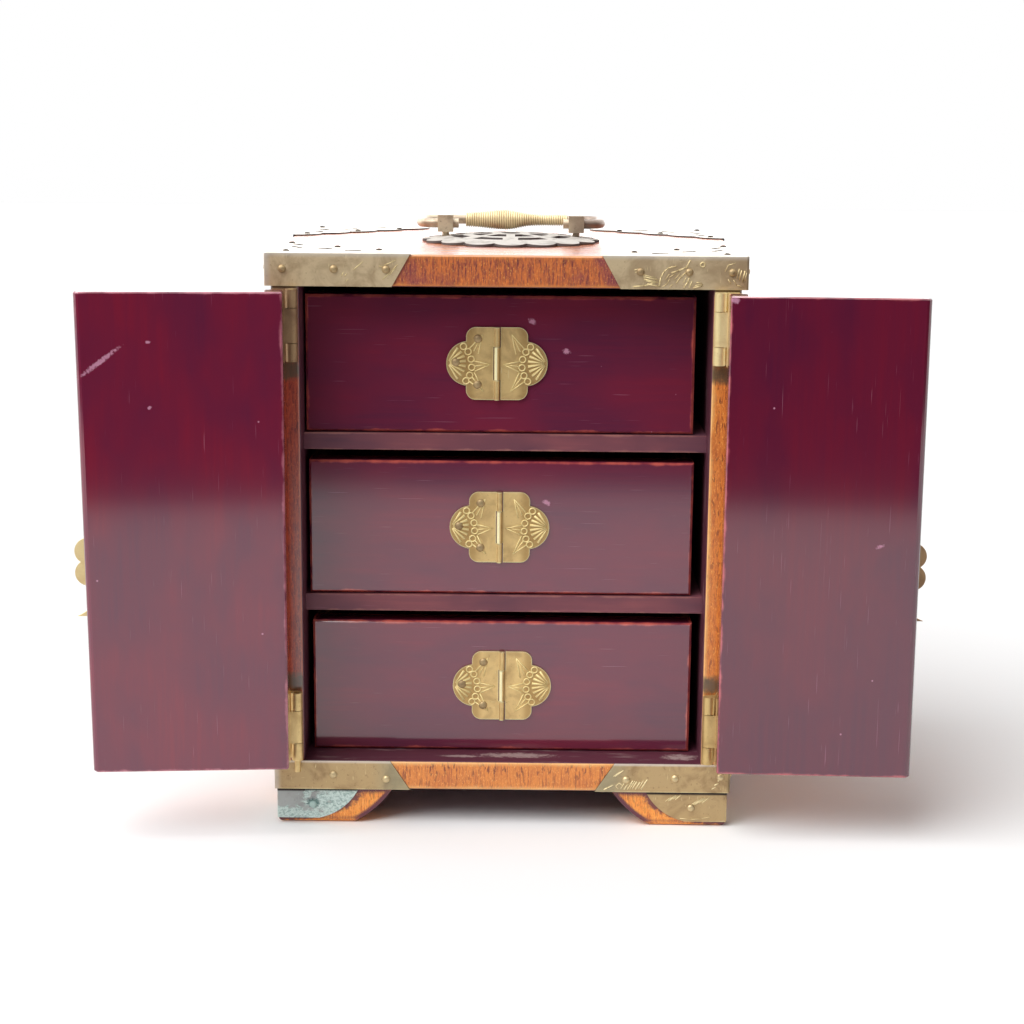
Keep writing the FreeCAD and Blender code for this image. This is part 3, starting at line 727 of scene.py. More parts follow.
@dataclass(frozen=True)
class Brass:
    """Sheet brass with tarnish clouds, fine scratches and worn bright edges."""

    body: Colour
    tarnish: Colour
    bright: Colour
    rough: float
    metal: float
    scratches: float
    tarnished: float
    varnish: float = 0.0
    specular: float = 0.5

    def accents(self, surface: Surface, colour: Tint) -> tuple[Tint, Number]:
        """Colour and metal share with what is special to a part; plain sheet has nothing."""
        return colour, self.metal

    def parts(self, surface: Surface) -> tuple[Tint, Number, Wire, Wire]:
        """Colour, metal share, roughness and height pattern.

        Args:
            surface: the graph to write in.

        Returns:
            The four values.
        """
        cloud = surface.noise(0.11, detail=4.0, rough=0.6, warp=0.5)
        spots = surface.noise(0.9, shift=6, rough=0.6)
        slant = surface.noise((2.4, 2.4, 0.28), shift=12, detail=1.0)
        cross = surface.noise((0.25, 0.3, 3.0), shift=19, detail=1.0)
        lines = slant.rise(0.72, 0.79).most(cross.rise(0.73, 0.8)) * self.scratches
        rub = (surface.edge + cloud * 1.2).rise(1.0, 0.35)
        colour = surface.layer(
            self.body,
            (cloud.rise(0.42, 0.68) * self.tarnished, self.tarnish),
            (spots.rise(0.6, 0.74) * self.tarnished * 0.9, self.tarnish),
            (lines.most(rub * 0.7), self.bright),
        )
        colour, metal = self.accents(surface, colour)
        rough = self.rough + cloud * 0.16 + spots.rise(0.55, 0.8) * 0.12 - rub * 0.1
        return colour, metal, rough, cloud * 0.8 + spots * 0.25 - lines * 0.3

    def material(self, surface: Surface) -> Material:
        """The finish on one piece.

        Args:
            surface: the graph to write in.

        Returns:
            The material.
        """
        colour, metal, rough, height = self.parts(surface)
        return surface.finish(
            Base_Color=colour,
            Metallic=metal,
            Roughness=rough,
            Specular_IOR_Level=self.specular,
            Coat_Weight=self.varnish,
            Coat_Roughness=0.2,
            Normal=surface.bump(height, 0.05),
        )


@dataclass(frozen=True)
class MountBrass(Brass):
    """Sheet bent over a corner of the case: painted highlight along its bend, painted shadow at its joint
    and painted shade on its inner edge.
    """

    sideways: float = -1.0
    endways: float = -1.0
    fold: float = 0.0
    seam: float = 0.0
    greened: float = 0.0

    def accents(self, surface: Surface, colour: Tint) -> tuple[Tint, Number]:
        """Colour with the painted highlight along the bend, the painted shadow at the joint, painted shade
        on the inner edge and the greened inner end.

        Args:
            surface: the graph to write in.
            colour: the sheet's colour.

        Returns:
            The colour and the metal share.
        """
        across, _, up = surface.sides
        aside, ahead, _ = surface.facing
        half = surface.board.half
        below = half.z - up
        inward = half.x - across * self.sideways
        coats = []
        if self.greened > 0:
            coats.append((inward.rise(2 * half.x - 15, 2 * half.x - 5) * self.greened, GREENED))
        # Painted highlight along the top bend; on left-hand mounts a painted highlight also runs down the
        # outer upright edge, on right-hand mounts painted shade.
        if self.fold > 0:
            coats.append((below.rise(self.fold, 0.1) * 0.7, FOLD_HIGHLIGHT))
            if self.sideways < 0:
                coats.append((inward.rise(2.8, 0.3) * 0.6, FOLD_HIGHLIGHT))
            else:
                coats.append((inward.rise(1.0, 0.5) * 0.5, DARK_PATCH_AND_SHADE))
        # Painted shadow of the joint gap along the top edge.
        if self.seam > 0:
            coats.append((below.rise(self.seam, self.seam * 0.5), SEAM_SHADE))
        # Painted shade on faces turned inward, which are also made less metallic.
        inner = (aside * -self.sideways).most(ahead * -self.endways).rise(0.1, 0.4)
        return surface.layer(colour, *coats, (inner, SEAM_SHADE)), (1 - inner) * self.metal


@dataclass(frozen=True)
class PullBrass(Brass):
    """One half of a pull: painted highlight round its rim, tarnish and painted shade under its chasing,
    painted highlight on the tab's knuckle.
    """

    way: float = 1.0
    polished: bool = False
    knuckle: float = 0.95
    outline: float = 0.7
    ground: Colour = tone(166, 128, 74)

    def accents(self, surface: Surface, colour: Tint) -> tuple[Tint, Number]:
        """Colour with tarnish and painted shade under the chasing, the painted highlight round the rim and
        the knuckle's painted highlight and shade.

        Args:
            surface: the graph to write in.
            colour: the sheet's colour.

        Returns:
            The colour and the metal share.
        """
        outward = surface.sides[0] * self.way + (surface.board.half.x - self.knuckle)
        # Tarnish and painted shade darken the plate under the chasing; a painted highlight runs round the
        # rim.
        ground = (outward.rise(6.5, 9.5) * 0.6, self.ground)
        colour = surface.layer(colour, ground, (surface.arris(self.outline) * 0.65, self.bright))
        if not self.polished:
            return colour, self.metal
        # Painted highlight along the knuckle, made less metallic, with painted shade beside it.
        painted_highlight = abs(outward + 0.4).rise(0.6, 0.35)
        shade = abs(outward - 0.95).rise(0.5, 0.2) * 0.6
        colour = surface.layer(colour, (shade, self.ground), (painted_highlight, self.bright))
        return colour, (1 - painted_highlight * 0.9) * self.metal


@dataclass(frozen=True)
class HandleBrass(Brass):
    """Bail and posts: pale brass, browner towards the right end."""

    brown: Colour = tone(122, 104, 94)
    brown_from: float = 20.0
    brown_share: float = 0.85

    def accents(self, surface: Surface, colour: Tint) -> tuple[Tint, Number]:
        """Colour with the brown end, and the metal share."""
        end = surface.sides[0].rise(self.brown_from, self.brown_from + 5) * self.brown_share
        return surface.layer(colour, (end, self.brown)), self.metal


@dataclass(frozen=True)
class GripBrass(Brass):
    """Wire-wound sleeve: tarnished dark between its turns, with painted shade on its underside."""

    pitch: float = 0.86

    def accents(self, surface: Surface, colour: Tint) -> tuple[Tint, Number]:
        """Colour with the dark grooves.

        Args:
            surface: the graph to write in.
            colour: the wire's colour.

        Returns:
            The colour and the metal share.
        """
        turn = ((surface.sides[0] + surface.board.half.x) / self.pitch).fraction()
        groove = abs(turn - 0.5).rise(0.2, 0.42) * 0.55
        # Painted shade on the underside of the sleeve.
        under = surface.facing[2].rise(0.1, -0.9) * 0.45
        return surface.layer(colour, (groove, self.tarnish), (under, DARK_PATCH_AND_SHADE)), self.metal


TOP_BRASS = MountBrass(
    tone(220, 198, 160), tone(172, 146, 112), tone(244, 228, 178),
    rough=0.44, metal=0.55, scratches=0.6, tarnished=0.75, varnish=0.6, fold=2.0,
)
BASE_BRASS = replace(
    TOP_BRASS, body=tone(194, 166, 120), tarnish=tone(150, 120, 82), varnish=0.2, fold=1.1, greened=0.6,
)
FOOT_BRASS = replace(BASE_BRASS, fold=0.0, greened=0.0, seam=1.5)
HANDLE_BRASS = HandleBrass(
    tone(206, 188, 162), tone(142, 120, 100), tone(240, 228, 200),
    rough=0.36, metal=0.55, scratches=0.4, tarnished=0.75, varnish=0.3,
)
POST_BRASS = HandleBrass(
    tone(214, 200, 172), tone(154, 136, 114), tone(236, 222, 184),
    rough=0.4, metal=0.4, scratches=0.4, tarnished=0.8, varnish=0.2, brown_share=0.5,
)
GRIP_BRASS = GripBrass(
    tone(255, 236, 190), tone(164, 134, 92), tone(255, 246, 216),
    rough=0.4, metal=0.3, scratches=0.2, tarnished=0.35,
)
NAIL_BRASS = Brass(
    tone(178, 154, 114), tone(134, 108, 78), tone(226, 206, 160),
    rough=0.44, metal=0.6, scratches=0.2, tarnished=0.6,
)
CRUST_BRASS = Brass(
    tone(92, 128, 124), tone(158, 190, 184), tone(196, 218, 212),
    rough=0.7, metal=0.1, scratches=0.3, tarnished=0.9, specular=0.2,
)
LID_BRONZE = Brass(
    tone(84, 76, 68), tone(56, 48, 44), tone(128, 118, 104),
    rough=0.7, metal=0.0, scratches=0.2, tarnished=0.6, specular=0.0,
)
# Dark colour of strokes that stand for painted shade in the lids' pierced slots.
SLOT_SHADE_BRONZE = Brass(
    tone(62, 54, 50), tone(40, 34, 32), tone(84, 76, 68),
    rough=0.8, metal=0.0, scratches=0.2, tarnished=0.5, specular=0.0,
)
BRIGHT_BRASS = Brass(
    tone(232, 204, 144), tone(186, 152, 100), tone(255, 240, 188),
    rough=0.32, metal=0.7, scratches=0.4, tarnished=0.6,
)
WARM_BRASS = replace(BRIGHT_BRASS, body=tone(214, 184, 124), tarnish=tone(170, 136, 88))
PALE_BRASS = Brass(
    tone(246, 226, 168), tone(216, 186, 128), tone(255, 246, 204),
    rough=0.34, metal=0.4, scratches=0.4, tarnished=0.5,
)
DULL_BRASS = Brass(
    tone(176, 144, 108), tone(128, 96, 74), tone(232, 204, 146),
    rough=0.4, metal=0.7, scratches=0.4, tarnished=0.65,
)
PLATE_BRASS = PullBrass(
    tone(232, 200, 138), tone(186, 152, 102), tone(255, 246, 196),
    rough=0.34, metal=0.65, scratches=0.35, tarnished=0.7, way=-1.0,
)
TAB_BRASS = replace(PLATE_BRASS, way=1.0, polished=True)
# Raised chasing on the pulls, paler and less metallic than the plate: painted highlight on the ridges.
CHASED_HIGHLIGHT_BRASS = Brass(
    tone(248, 228, 164), tone(228, 198, 132), tone(255, 248, 214),
    rough=0.3, metal=0.2, scratches=0.2, tarnished=0.3,
)
LINED_BRASS = Brass(
    tone(228, 208, 156), tone(194, 168, 120), tone(246, 230, 182),
    rough=0.36, metal=0.35, scratches=0.2, tarnished=0.6,
)
GREY_BRASS = MountBrass(
    tone(178, 182, 180), tone(150, 150, 150), tone(214, 216, 212),
    rough=0.5, metal=0.4, scratches=0.3, tarnished=0.6, seam=1.5,
)


@dataclass(frozen=True)
class Openwork:
    """Worn plate: pale grey on its upper face; faces that do not face up, such as the pierced edges, are
    darker, which is painted shade.
    """

    face: Colour = tone(218, 211, 203)
    grime: Colour = tone(170, 163, 155)
    cut: Colour = tone(104, 98, 96)

    def material(self, surface: Surface) -> Material:
        """The finish on the plate.

        Args:
            surface: the graph to write in.

        Returns:
            The material.
        """
        upward = surface.facing[2].rise(0.5, 0.9)
        cloud = surface.noise(0.16, detail=4.0, rough=0.62, warp=0.4)
        pits = surface.noise(1.2, shift=4, rough=0.6)
        worn = surface.layer(
            self.face, (cloud.rise(0.45, 0.7) * 0.8, self.grime), (pits.rise(0.6, 0.75) * 0.6, self.cut),
        )
        return surface.finish(
            # Faces that do not face up take the dark colour: painted shade on the pierced edges; pits share
            # that colour.
            Base_Color=surface.layer(self.cut, (upward, worn)),
            Roughness=0.62 + cloud * 0.1,
            Specular_IOR_Level=0.12,
            Normal=surface.bump(cloud + pits * 0.4, 0.06),
        )


@dataclass(frozen=True)
class Verdigris:
    """Grey old brass under a pale teal crust, blotted darker round its nail."""

    metal: MountBrass = GREY_BRASS
    crust: Colour = tone(216, 234, 228)
    deep_crust: Colour = tone(140, 176, 170)
    blot: Colour = tone(78, 112, 110)
    nail_inset: float = 12.9
    blot_rise: float = 0.2
    blot_size: Place = (3.0, 2.2)

    def material(self, surface: Surface) -> Material:
        """The finish on one mount.

        Args:
            surface: the graph to write in.

        Returns:
            The material.
        """
        colour, metal, rough, height = self.metal.parts(surface)
        inward, _, up = surface.sides
        half = surface.board.half
        grow = surface.noise((0.22, 0.22, 0.3), shift=2, detail=5.0, rough=0.65, warp=0.8)
        grit = surface.noise((1.1, 1.1, 1.5), shift=31, detail=4.0, rough=0.7, warp=0.6)
        low = (up + half.z) / (2 * half.z)
        far = (inward + half.x) / (2 * half.x)
        crusted = ((far * 0.9).most(0.7 - low) + (grow - 0.5) * 1.3).rise(0.3, 0.46) * low.rise(0.97, 0.88)
        blot = Scuff(self.nail_inset - half.x, self.blot_rise, *self.blot_size)
        blotted = blot.mask(inward, up, grit)
        crumbs = surface.layer(self.deep_crust, (grit.rise(0.34, 0.56), self.crust))
        colour = surface.layer(
            colour, (crusted * (0.55 + grit * 0.6).least(1.0), crumbs), (blotted * 0.8, self.blot),
        )
        return surface.finish(
            Base_Color=colour,
            Metallic=(1 - crusted) * metal,
            Roughness=(rough + crusted * 0.35).least(0.95),
            Normal=surface.bump(height * 0.3 + crusted * (grit + 0.5), 0.12),
        )


# Mesh helpers


def linked(name: str, data: bpy.types.ID) -> Piece:
    """Add an object to the scene.

    Args:
        name: its name.
        data: the mesh, light or camera that it holds.

    Returns:
        The object.
    """
    made = bpy.data.objects.new(name, data)
    bpy.context.scene.collection.objects.link(made)
    return made


def paint(node: str, material: Material) -> None:
    """Put one material on a solid.

    Args:
        node: the solid's name.
        material: its finish.
    """
    solid = frame["nodes"][node]
    solid.data.materials.clear()
    solid.data.materials.append(material)
    LOG.info("%s wears %s", node, material.name)


def new_piece(name: str, mesh: Mesh, body: str, material: Material, smooth: bool = True) -> Piece:
    """Turn a bmesh into a piece that rides on a body.

    Args:
        name: the piece's name.
        mesh: its shape, in place, which is used up.
        body: the body that it moves with.
        material: its finish.
        smooth: whether its faces blend into each other.

    Returns:
        The new object.
    """
    bmesh.ops.recalc_face_normals(mesh, faces=mesh.faces[:])
    data = bpy.data.meshes.new(name)
    mesh.to_mesh(data)
    mesh.free()
    if smooth:
        data.shade_smooth()
    data.materials.append(material)
    piece = linked(name, data)
    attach(piece, body)
    LOG.info("%s rides on %s: %d faces", name, body, len(data.polygons))
    return piece


def box_mm(node: str) -> tuple[Vector, Vector]:
    """A solid's lowest and highest corner in millimetres."""
    low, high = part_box(node)
    return low * PER_METRE, high * PER_METRE


def copy_of(node: str) -> Mesh:
    """A merged copy of a solid's mesh.

    Args:
        node: the solid's name.

    Returns:
        The copy.
    """
    mesh = bmesh.new()
    mesh.from_mesh(frame["nodes"][node].data)
    bmesh.ops.remove_doubles(mesh, verts=mesh.verts[:], dist=MERGE_GAP)
    return mesh


def add_turned(mesh: Mesh, profile: Iterable[Place], steps: int, place: Matrix) -> None:
    """Spin a profile of radius and height about Z and set it in place.

    Args:
        mesh: the mesh to add to.
        profile: points from the foot of the axis to its head, in millimetres.
        steps: how many steps a full turn has.
        place: where the turned shape goes, in metres.
    """
    verts = [mesh.verts.new((radius * MM, 0.0, height * MM)) for radius, height in profile]
    edges = [mesh.edges.new(pair) for pair in zip(verts, verts[1:])]
    before = set(mesh.verts) - set(verts)
    bmesh.ops.spin(
        mesh, geom=verts + edges, axis=(0, 0, 1), cent=(0, 0, 0),
        angle=math.tau, steps=steps, use_merge=True, use_duplicate=False,
    )
    made = [vert for vert in mesh.verts if vert not in before]
    bmesh.ops.remove_doubles(mesh, verts=made, dist=TINY)
    made = [vert for vert in mesh.verts if vert not in before]
    bmesh.ops.transform(mesh, matrix=place, verts=made)


@dataclass(frozen=True)
class Nail:
    """A small domed nail head, a little sunk into what it holds."""

    radius: float = 1.4
    rise: float = 0.9
    sunk: float = 0.12
    dome: tuple[float, ...] = (0.0, 0.3, 0.58, 0.82)
    steps: int = 14

    def add(self, mesh: Mesh, point: Vector, normal: Vector) -> None:
        """Add one head.

        Args:
            mesh: the mesh to add to.
            point: its middle on the surface, in millimetres.
            normal: the way that it faces.
        """
        profile = [(0.0, -self.sunk), (self.radius, -self.sunk)]
        for share in self.dome:
            turn = share * math.pi / 2
            profile.append((self.radius * math.cos(turn), self.rise * math.sin(turn)))
        profile.append((0.0, self.rise))
        toward = normal.to_track_quat("Z", "Y").to_matrix().to_4x4()
        add_turned(mesh, profile, self.steps, Matrix.Translation(point * MM) @ toward)


@dataclass(frozen=True)
class Relief:
    """Raised lines chased into a plate: strokes and rings of one wire width."""

    width: float
    height: float
    sides: int = 6
    ring_steps: int = 12

    def stroke(self, mesh: Mesh, start: Vector, end: Vector, normal: Vector, taper: float) -> None:
        """A tapering ridge between two points on a plate.

        Args:
            mesh: the mesh to add to.
            start: the wide end, in millimetres.
            end: the narrow end.
            normal: the way that the plate faces.
            taper: the narrow end's share of the width.
        """
        along = end - start
        axis = along.normalized()
        side = normal.cross(axis)
        turn = Matrix((normal * (self.height * 2 / self.width), side, axis)).transposed().to_4x4()
        bmesh.ops.create_cone(
            mesh, cap_ends=True, segments=self.sides,
            radius1=self.width / 2 * MM, radius2=self.width / 2 * taper * MM, depth=along.length * MM,
            matrix=Matrix.Translation((start + end) / 2 * MM) @ turn,
        )

    def ring(self, mesh: Mesh, centre: Vector, radius: float, normal: Vector) -> None:
        """A raised ring on a plate.

        Args:
            mesh: the mesh to add to.
            centre: its middle, in millimetres.
            radius: its radius.
            normal: the way that the plate faces.
        """
        start = normal.orthogonal().normalized()
        turn = Matrix((normal * (self.height * 2 / self.width), start, normal.cross(start))).transposed()
        section = bmesh.ops.create_circle(
            mesh, cap_ends=False, segments=self.sides, radius=self.width / 2 * MM,
            matrix=Matrix.Translation((centre + start * radius) * MM) @ turn.to_4x4(),
        )["verts"]
        edges = list(dict.fromkeys(edge for vert in section for edge in vert.link_edges))
        bmesh.ops.spin(
            mesh, geom=section + edges, axis=normal, cent=centre * MM,
            angle=math.tau, steps=self.ring_steps, use_merge=True, use_duplicate=False,
        )


# Pieces of the box


class Side(StrEnum):
    """A side of the case."""

    LEFT = "left"
    RIGHT = "right"


class Corner(StrEnum):
    """An upright corner of the case."""

    RIGHT_FRONT = "right_front"
    LEFT_FRONT = "left_front"
    RIGHT_REAR = "right_rear"
    LEFT_REAR = "left_rear"


class Tier(StrEnum):
    """How high on the case a mount sits."""

    TOP = "top"
    BASE = "base"
    FOOT = "foot"


CRUSTED = (Corner.LEFT_FRONT, Tier.FOOT)
MOUNT_METALS = {Tier.TOP: TOP_BRASS, Tier.BASE: BASE_BRASS, Tier.FOOT: FOOT_BRASS}
# Distances in from the corner, and shares of the mount's height
NAIL_PLACES: dict[Tier, dict[Side, Path]] = {
    Tier.TOP: {
        Side.LEFT: ((6.2, 0.51), (23.8, 0.51), (41.6, 0.51)),
        Side.RIGHT: ((5.6, 0.51), (20.3, 0.51), (36.9, 0.51)),
    },
    Tier.BASE: {
        Side.LEFT: ((21.1, 0.52), (40.1, 0.37)),
        Side.RIGHT: ((3.5, 0.57), (19.7, 0.5), (37.2, 0.43)),
    },
    Tier.FOOT: {Side.LEFT: ((12.9, 0.46),), Side.RIGHT: ((12.9, 0.46),)},
}
# Lines chased in the front mounts, across and up in millimetres
LOTUS_OUTLINE: tuple[Path, ...] = (
    ((52.1, 194.2), (52.5, 196.9), (53.6, 199.0), (55.1, 200.3), (57.8, 200.9)),
    ((56.1, 198.6), (58.6, 199.5), (61.2, 200.5), (62.4, 203.0)),
    ((57.8, 195.1), (59.3, 197.2), (61.2, 199.0)),
    ((60.4, 193.6), (61.7, 195.5), (62.3, 197.2)),
    ((62.3, 193.6), (63.2, 195.9)),
    ((63.6, 193.6), (66.9, 194.4)),
    ((43.2, 193.8), (47.2, 194.2), (51.3, 195.5)),
)
LOTUS_VEINS: tuple[Path, ...] = (
    ((53.2, 193.8), (54.7, 194.9), (55.5, 196.5)),
    ((55.5, 193.6), (56.6, 194.8)),
    ((54.2, 196.4), (55.4, 198.2)),
    ((55.6, 197.2), (57.4, 198.4)),
    ((57.2, 196.4), (59.0, 198.4)),
    ((60.2, 195.2), (61.2, 197.2)),
    ((64.2, 194.4), (66.9, 194.9)),
    ((64.6, 195.5), (66.5, 195.2)),
    ((43.5, 199.5), (45.1, 199.9)),
    ((43.7, 198.7), (45.0, 198.9)),
    ((74.3, 199.2), (75.3, 201.4), (77.9, 202.1)),
    ((77.2, 196.5), (78.4, 194.6), (80.6, 194.0)),
    ((75.4, 196.6), (76.4, 195.2)),
)
LEFT_SCRATCHES: tuple[Path, ...] = (
    ((-42.0, 195.5), (-38.9, 198.5), (-36.9, 200.6)),
    ((-39.7, 197.0), (-37.6, 199.4)),
    ((-41.6, 200.2), (-37.6, 202.0)),
    ((-43.3, 200.0), (-41.7, 199.8)),
    ((-51.5, 198.9), (-48.8, 201.5)),
    ((-52.0, 198.6), (-50.3, 200.2)),
    ((-56.0, 196.6), (-55.3, 197.9)),
    ((-55.0, 196.4), (-54.2, 197.4)),
    ((-54.6, 194.7), (-53.8, 195.6)),
)


@dataclass(frozen=True)
class Hatch:
    """A row of slanting tool strokes: where it starts, its step, one stroke and how many there are."""

    first: Place
    step: Place
    stroke: Place
    count: int

    def paths(self) -> Iterable[Path]:
        """The strokes, set down a little unevenly.

        Returns:
            Their ends, across and up in millimetres.
        """
        dice = random.Random(self.count)
        for index in range(self.count):
            across = self.first[0] + self.step[0] * index + dice.uniform(-0.2, 0.2)
            up = self.first[1] + self.step[1] * index + dice.uniform(-0.2, 0.2)
            reach = dice.uniform(0.8, 1.15)
            yield (across, up), (across + self.stroke[0] * reach, up + self.stroke[1] * reach)


HATCHES: dict[Tier, tuple[Hatch, ...]] = {
    Tier.TOP: (
        Hatch((46.0, 197.9), (0.5, -0.75), (4.4, -0.9), 5),
        Hatch((79.2, 200.4), (0.85, -0.5), (-0.7, -3.6), 4),
    ),
    Tier.BASE: (
        Hatch((42.6, 14.1), (1.05, 0.02), (1.9, 3.2), 8),
        Hatch((39.6, 18.6), (0.9, 0.1), (2.9, 2.2), 2),
        Hatch((75.2, 14.6), (0.9, 1.4), (1.6, 0.9), 4),
    ),
    Tier.FOOT: (
        Hatch((58.6, 9.2), (0.9, 0.25), (2.0, 1.7), 5),
        Hatch((67.4, 7.6), (1.1, 0.35), (3.0, 2.3), 5),
    ),
}
BOLD_LINES: dict[Tier, tuple[Path, ...]] = {
    Tier.TOP: LOTUS_OUTLINE,
    Tier.BASE: (((36.4, 13.8), (38.0, 14.6), (39.8, 15.6)),),
    Tier.FOOT: (),
}
FINE_LINES: dict[Tier, tuple[Path, ...]] = {
    Tier.TOP: LOTUS_VEINS + LEFT_SCRATCHES,
    Tier.BASE: (((41.6, 14.2), (40.7, 15.2), (41.9, 16.4), (43.2, 15.4)),),
    Tier.FOOT: (((64.0, 3.0), (68.0, 2.6), (72.0, 2.9), (75.2, 3.7)),),
}


class Mount:
    """One sheet-brass mount of the case, with places measured in from its corner."""

    def __init__(self, corner: Corner, tier: Tier) -> None:
        """Measure a mount in millimetres.

        Args:
            corner: where on the case it sits.
            tier: how high it sits.
        """
        self.node = f"{corner}_{tier}_mount"
        self.low, self.high = box_mm(self.node)
        self.side = Side.RIGHT if corner.startswith(Side.RIGHT) else Side.LEFT
        self.sideways = Vector((1 if self.side is Side.RIGHT else -1, 0, 0))
        self.endways = Vector((0, -1 if corner.endswith("front") else 1, 0))

    def spot(self, along: float, inward: float, height: float = 1.0) -> Vector:
        """A place on the mount.

        Args:
            along: distance in from its side.
            inward: distance in from its front or back.
            height: share of its height.

        Returns:
            The place in millimetres.
        """
        x = self.high.x if self.sideways.x > 0 else self.low.x
        y = self.high.y if self.endways.y > 0 else self.low.y
        z = self.low.z + (self.high.z - self.low.z) * height
        return Vector((x, y, z)) - self.sideways * along - self.endways * inward


@dataclass
class CornerMounts:
    """Nails and chased lines on the twelve sheet-brass mounts of the case."""

    lid_places: Path = ((38.4, 12.9), (22.9, 25.4), (6.9, 6.6), (4.8, 43.4))
    slots: tuple[tuple[Place, Place], ...] = (
        ((32.5, 7.5), (27.0, 9.8)),
        ((21.5, 15.5), (17.0, 18.5)),
        ((10.5, 20.5), (7.2, 24.8)),
        ((9.5, 33.0), (6.5, 37.0)),
    )
    bud: tuple[float, float, float] = (66.7, 201.5, 0.75)
    taper: float = 0.8
    nail: Nail = Nail()
    lid_nail: Nail = Nail(radius=1.2, rise=0.5)
    line: Relief = Relief(width=0.55, height=0.22)
    scratch: Relief = Relief(width=0.34, height=0.14)
    slot: Relief = Relief(width=2.0, height=0.22)

    def build_nails(self, box: Board) -> None:
        """The nails of the upright plates; the back stays flat to stand against a wall.

        Args:
            box: the box that their finish is laid out on.
        """
        plain, crusted = bmesh.new(), bmesh.new()
        for corner in Corner:
            for tier, places in NAIL_PLACES.items():
                mount = Mount(corner, tier)
                mesh = crusted if (corner, tier) == CRUSTED else plain
                for inset, height in places[mount.side]:
                    if mount.endways.y < 0:
                        self.nail.add(mesh, mount.spot(inset, 0, height), mount.endways)
                    self.nail.add(mesh, mount.spot(0, inset, height), mount.sideways)
        finish = NAIL_BRASS.material(Surface("nail_brass", box, 40.0))
        new_piece("mount_nails", plain, "case", finish)
        finish = CRUST_BRASS.material(Surface("crust_brass", box, 43.0))
        new_piece("crusted_nails", crusted, "case", finish)

    def build_lids(self, box: Board) -> None:
        """Nails in the four lids, and dark strokes of painted shade in their pierced slots.

        Args:
            box: the box that their finish is laid out on.
        """
        nails, slots = bmesh.new(), bmesh.new()
        for corner in Corner:
            mount = Mount(corner, Tier.TOP)
            for place in self.lid_places:
                self.lid_nail.add(nails, mount.spot(*place), UPWARD)
            for start, end in self.slots:
                self.slot.stroke(slots, mount.spot(*start), mount.spot(*end), UPWARD, self.taper)
        finish = LID_BRONZE.material(Surface("lid_bronze", box, 41.0))
        new_piece("lid_nails", nails, "case", finish)
        finish = SLOT_SHADE_BRONZE.material(Surface("slot_shade", box, 42.0))
        new_piece("lid_slots", slots, "case", finish)

    def trace(self, mesh: Mesh, face: float, points: Path, line: Relief) -> None:
        """One raised line along points on the front.

        Args:
            mesh: the mesh to add to.
            face: how far forward the plate's face is, in millimetres.
            points: places across and up, in millimetres.
            line: how bold it is.
        """
        spots = [Vector((across, face, up)) for across, up in points]
        for start, end in zip(spots, spots[1:]):
            line.stroke(mesh, start, end, FORWARD, self.taper)

    def build_chasing(self, box: Board) -> None:
        """Lotus and hatching on the right-hand mounts, and a few tool marks on the left.

        Args:
            box: the box that their finish is laid out on.
        """
        mesh = bmesh.new()
        for tier, hatches in HATCHES.items():
            face = Mount(Corner.RIGHT_FRONT, tier).low.y
            for path in BOLD_LINES[tier]:
                self.trace(mesh, face, path, self.line)
            for path in FINE_LINES[tier]:
                self.trace(mesh, face, path, self.scratch)
            for hatch in hatches:
                for index, path in enumerate(hatch.paths()):
                    self.trace(mesh, face, path, self.line if index % 3 else self.scratch)
        across, up, radius = self.bud
        face = Mount(Corner.RIGHT_FRONT, Tier.TOP).low.y
        self.line.ring(mesh, Vector((across, face, up)), radius, FORWARD)
        finish = LINED_BRASS.material(Surface("lined_brass", box, 44.0))
        new_piece("mount_chasing", mesh, "case", finish)

    def dress(self) -> None:
        """Give the mounts old brass and the stained foot its crust."""
        for index, corner in enumerate(Corner):
            for tier, metal in MOUNT_METALS.items():
                mount = Mount(corner, tier)
                finish = replace(metal, sideways=mount.sideways.x, endways=mount.endways.y)
                if (corner, tier) == CRUSTED:
                    finish = Verdigris()
                seed = 13.0 * index + len(f"{tier}_mount")
                paint(mount.node, finish.material(Surface.of(mount.node, "brass", seed)))

    def build(self) -> None:
        """Add the small fittings and dress the mounts."""
        box = Board.of("top_board")
        self.build_nails(box)
        self.build_lids(box)
        self.build_chasing(box)
        self.dress()


